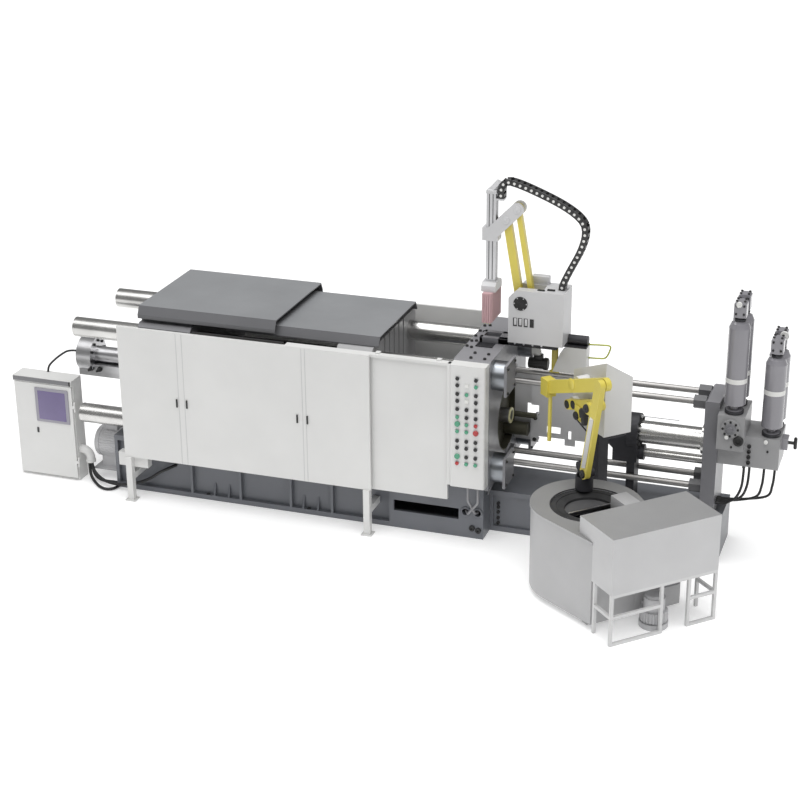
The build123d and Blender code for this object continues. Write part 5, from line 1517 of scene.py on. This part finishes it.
def post_pieces():
    """Slots of the post on its front and right faces, and the prop of the chain on its top."""
    x, y = POST_X, SPRAY_Y
    front, right = y - POST_HALF, x + POST_HALF
    slots = []
    for z0, z1 in POST_SLOT_Z:
        for off in POST_SLOT_OFF:
            low, high = off - POST_SLOT_HALF, off + POST_SLOT_HALF
            on_front = ((x + low, front - POST_SLOT_T, z0), (x + high, front, z1))
            on_right = ((right, y + low, z0), (right + POST_SLOT_T, y + high, z1))
            slots += [soft_block(*corners, POST_SLOT_EDGE) for corners in (on_front, on_right)]
    piece("post_slots", slots, "slot grey", "spray_boom")
    start = (x, y, POST_TOP - PROP_DOWN)
    prop = straight_tube(start, (x + PROP_REACH, y, POST_TOP + PROP_REACH), PROP_R, BACK, count=4)
    spans = (x - PROP_COLLAR_HALF, x + PROP_COLLAR_HALF, y - PROP_COLLAR_HALF, y + PROP_COLLAR_HALF)
    collar = raised_plate(spans, POST_TOP - PROP_COLLAR_DOWN, PROP_COLLAR_H, PROP_COLLAR_EDGE)
    piece("chain_prop", [prop, collar], "light grey paint", "spray_boom")


def spray_head_pieces():
    """Pins of the sloping beam, and the tubes and nozzles of the spray head."""
    pins = []
    for reach in BEAM_PINS:
        at = (POST_X + reach * math.cos(BEAM_TURN), CHEEK_Y, BEAM_FOOT_Z + reach * math.sin(BEAM_TURN))
        pins.append(turned_form(at, FRONT, BEAM_PIN, count=28))
    piece("beam_pins", pins, "light grey paint", "spray_boom")
    foot, top = HEAD_Z[0] + TUBE_END, HEAD_Z[1] - TUBE_END
    places = [(POST_X + off, HEAD_FRONT) for off in FRONT_TUBES]
    places += [(POST_X + SIDE_TUBE_X, y) for y in SIDE_TUBES]
    radius = sizes().tube
    tubes = [straight_tube((x, y, foot), (x, y, top), radius, BACK, count=14) for x, y in places]
    piece("spray_tubes", tubes, "spray manifold", "spray_boom")
    tip_places = [(POST_X + off, y, HEAD_Z[0]) for off in NOZZLE_X for y in NOZZLE_Y]
    tips = [turned_form(at, DOWN, NOZZLE, count=8) for at in tip_places]
    piece("spray_nozzles", tips, "sleeve brass", "spray_boom")


class DIECAST_OT_spray(bpy.types.Operator):
    """Fan, switches, foot, post, pins, tubes and nozzles of the spray robot."""

    bl_idname = "diecast.spray"
    bl_label = "Spray robot fittings"

    def execute(self, context):
        spray_housing_pieces()
        spray_foot_pieces()
        post_pieces()
        spray_head_pieces()
        return {"FINISHED"}


# Drag chain
CHAIN_ROUTE = (
    (0.318, 3.790), (0.318, 3.955), (0.455, 3.990), (1.190, 3.690), (1.275, 3.430), (1.010, 2.905),
    (1.010, 2.830),
)
CHAIN_LINKS = 30
CORNER_CUTS = 5
CUT_SHARE = 0.25
LINK_REACH = 0.56
BAR_REACH = 0.30
LINK_PLATE_T = 0.012
LINK_PLATE_EDGE = 0.005
BAR_T = 0.008
BAR_IN = 0.010
BAR_EDGE = 0.003
LINK_PIN = disc_profile(0.015, 0.0, 0.002)


def chain_line(count):
    """Quadratic B-spline along the route by corner cutting, as evenly spaced places with their directions."""
    p = np.array(CHAIN_ROUTE)
    near, far = 1 - CUT_SHARE, CUT_SHARE
    for _ in range(CORNER_CUTS):
        inner = np.stack([near * p[:-1] + far * p[1:], far * p[:-1] + near * p[1:]], 1).reshape(-1, 2)
        p = np.vstack([p[:1], inner[1:-1], p[-1:]])
    run = np.concatenate([[0.0], np.cumsum(np.linalg.norm(np.diff(p, axis=0), axis=1))])
    s = np.linspace(0.0, run[-1], 2 * count + 1)
    line = np.stack([np.interp(s, run, p[:, 0]), np.interp(s, run, p[:, 1])], -1)
    ahead = line[2::2] - line[:-1:2]
    return line[1::2], ahead / np.linalg.norm(ahead, axis=1)[:, None], run[-1] / count


def along_chain(form, middle, ahead):
    """One link's form set at every place m of the chain, along its axes: p = m + x e1 - y e2 + z e3."""
    points, quads = form
    flat = np.zeros(len(ahead))
    e1 = np.stack([ahead[:, 0], flat, ahead[:, 1]], -1)[:, None]
    e2 = np.array(BACK)
    e3 = np.stack([-ahead[:, 1], flat, ahead[:, 0]], -1)[:, None]
    at = np.stack([middle[:, 0], flat + SPRAY_Y, middle[:, 1]], -1)[:, None]
    x, y, z = (points[None, :, k:k + 1] for k in range(3))
    placed = at + x * e1 - y * e2 + z * e3
    steps = np.arange(len(middle))[:, None, None] * len(points)
    return placed.reshape(-1, 3), (quads[None] + steps).reshape(-1, 4)


def link_forms(pitch):
    """Side plates and cross bars of one link, and the pin heads on its plates."""
    w = sizes().link_width
    t = sizes().link_height
    half = LINK_REACH * pitch
    bar = BAR_REACH * pitch
    inner = w - BAR_IN
    plates = [
        soft_block((-half, -w, -t), (half, -w + LINK_PLATE_T, t), LINK_PLATE_EDGE, axis=1, steps=2),
        soft_block((-half, w - LINK_PLATE_T, -t), (half, w, t), LINK_PLATE_EDGE, axis=1, steps=2),
        soft_block((-bar, -inner, t - BAR_T), (bar, inner, t), BAR_EDGE, steps=2),
        soft_block((-bar, -inner, -t), (bar, inner, -t + BAR_T), BAR_EDGE, steps=2),
    ]
    sides = (((0.0, -w, 0.0), FRONT), ((0.0, w, 0.0), BACK))
    pins = [turned_form(at, direction, LINK_PIN, count=12) for at, direction in sides]
    return plates, pins


class DIECAST_OT_drag_chain(bpy.types.Operator):
    """Drag chain of the spray robot, built in two halves."""

    bl_idname = "diecast.drag_chain"
    bl_label = "Drag chain"

    def execute(self, context):
        middle, ahead, pitch = chain_line(CHAIN_LINKS)
        plates, pins = link_forms(pitch)
        half = CHAIN_LINKS // 2
        ends = upright_line((CHAIN_ROUTE[0], middle[half], CHAIN_ROUTE[-1]), SPRAY_Y)
        halves = {
            "upper": (slice(0, half), "spray_arm", "spray_boom", ends[1], ends[0]),
            "lower": (slice(half, None), "frame", "spray_arm", ends[2], ends[1]),
        }
        for side, (part, first, last, start, end) in halves.items():
            for name, forms, look in (("links", plates, "chain plastic"), ("pins", pins, "band white")):
                placed = [along_chain(form, middle[part], ahead[part]) for form in forms]
                obj = piece(f"drag_chain_{side}_{name}", placed, look, None)
                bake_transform(obj)
                if name == "links":
                    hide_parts("drag_chain")
        return {"FINISHED"}


# Stage
WHITE = (1.0, 1.0, 1.0, 1.0)
WORLD_STRENGTH = 0.25
WORLD_SEEN = 1.0
SKY_TOWARDS = (0.08, -0.32, 1.0)
SKY_STRENGTH = 2.5
SKY_SPREAD = math.radians(70)
KEY_AT = (-2.0, 1.5, 12.0)
KEY_TARGET = (-1.0, -0.5, 1.2)
KEY_SIZE = 7.0
KEY_POWER = 350.0
FLOOR_COLOUR = (0.84, 0.84, 0.84)
FLOOR_ROUGH = 0.95
FLOOR_GLOW = 0.30
CAMERA_AT = (5.292, -17.766, 9.0)
CAMERA_YAW = math.radians(-19.108)
CAMERA_PITCH = math.radians(22.274)
CAMERA_ROLL = math.radians(0.461)
CAMERA_SENSOR = 36.0
CAMERA_FAR = 200.0


def camera_matrix():
    """Camera axes from yaw about the vertical, pitch below the horizon and roll."""
    sy, cy = math.sin(CAMERA_YAW), math.cos(CAMERA_YAW)
    sp, cp = math.sin(CAMERA_PITCH), math.cos(CAMERA_PITCH)
    ahead = Vector((sy * cp, cy * cp, -sp))
    right = Vector((cy, -sy, 0.0))
    down = ahead.cross(right)
    across = right * math.cos(CAMERA_ROLL) + down * math.sin(CAMERA_ROLL)
    below = down * math.cos(CAMERA_ROLL) - right * math.sin(CAMERA_ROLL)
    axes = Matrix((across, -below, -ahead)).transposed().to_4x4()
    return Matrix.Translation(CAMERA_AT) @ axes


def add_floor():
    """Pale level floor with a faint glow of its own."""
    half = stage_sizes().floor
    mesh = bpy.data.meshes.new("floor")
    corners = [(-half, -half, 0), (half, -half, 0), (half, half, 0), (-half, half, 0)]
    mesh.from_pydata(corners, [], [(0, 1, 2, 3)])
    mat, _, bsdf = shader("pale floor", FLOOR_COLOUR, FLOOR_ROUGH)
    bsdf.inputs["Emission Color"].default_value = WHITE
    bsdf.inputs["Emission Strength"].default_value = FLOOR_GLOW
    mesh.materials.append(mat)
    floor = bpy.data.objects.new("floor", mesh)
    bpy.context.scene.collection.objects.link(floor)


def add_world():
    """White surroundings: bright where the view meets them, soft as a light."""
    world = bpy.data.worlds.new("studio")
    world.use_nodes = True
    tree = world.node_tree
    background = tree.nodes["Background"]
    background.inputs["Color"].default_value = WHITE
    path = add(tree, "ShaderNodeLightPath")
    level = range_of(tree, path.outputs["Is Camera Ray"], WORLD_STRENGTH, WORLD_SEEN)
    tree.links.new(level, background.inputs["Strength"])
    bpy.context.scene.world = world


def add_light(name, kind, towards, **values):
    """A light of a kind, shining along a direction."""
    data = bpy.data.lights.new(name, kind)
    for key, value in values.items():
        setattr(data, key, value)
    obj = bpy.data.objects.new(name, data)
    obj.rotation_euler = towards.to_track_quat("-Z", "Y").to_euler()
    bpy.context.scene.collection.objects.link(obj)
    return obj


def add_camera():
    """Camera in front of the machine, above it and to its right."""
    data = bpy.data.cameras.new("view")
    data.lens = stage_sizes().lens
    data.sensor_width = CAMERA_SENSOR
    data.clip_end = CAMERA_FAR
    camera = bpy.data.objects.new("view", data)
    camera.matrix_world = camera_matrix()
    bpy.context.scene.collection.objects.link(camera)
    bpy.context.scene.camera = camera


class DIECAST_OT_stage(bpy.types.Operator):
    """Floor, surroundings, soft lights and camera."""

    bl_idname = "diecast.stage"
    bl_label = "Stage"

    def execute(self, context):
        add_floor()
        add_world()
        context.scene.view_settings.view_transform = "Standard"
        add_light("sky", "SUN", -Vector(SKY_TOWARDS), energy=SKY_STRENGTH, angle=SKY_SPREAD)
        key = add_light("key", "AREA", Vector(KEY_TARGET) - Vector(KEY_AT), size=KEY_SIZE, energy=KEY_POWER)
        key.location = KEY_AT
        add_camera()
        return {"FINISHED"}


class DIECAST_PT_panel(bpy.types.Panel):
    """Sidebar list of the machine's pieces, colours and sizes."""

    bl_label = "Die casting machine"
    bl_space_type = "VIEW_3D"
    bl_region_type = "UI"
    bl_category = "Die casting"

    def draw(self, context):
        for operator in OPERATORS:
            self.layout.operator(operator.bl_idname)
        for group, kind in GROUPS.items():
            for name in kind.__annotations__:
                self.layout.prop(getattr(context.scene, group), name)


OPERATORS = (
    DIECAST_OT_finishes,
    DIECAST_OT_stage,
    DIECAST_OT_cords,
    DIECAST_OT_controls,
    DIECAST_OT_clamp_unit,
    DIECAST_OT_injection_unit,
    DIECAST_OT_furnace,
    DIECAST_OT_ladle,
    DIECAST_OT_spray,
    DIECAST_OT_drag_chain,
)
CLASSES = (*GROUPS.values(), *OPERATORS, DIECAST_PT_panel)


def register():
    """Add the classes and their settings."""
    for cls in CLASSES:
        bpy.utils.register_class(cls)
    for name, group in GROUPS.items():
        setattr(bpy.types.Scene, name, bpy.props.PointerProperty(type=group))


def unregister():
    """Take the settings and the classes away."""
    for name in GROUPS:
        delattr(bpy.types.Scene, name)
    for cls in reversed(CLASSES):
        bpy.utils.unregister_class(cls)


def main():
    """Build every piece in order."""
    register()
    for operator in OPERATORS:
        group, name = operator.bl_idname.split(".")
        getattr(getattr(bpy.ops, group), name)()


if __name__ == "__main__":
    main()
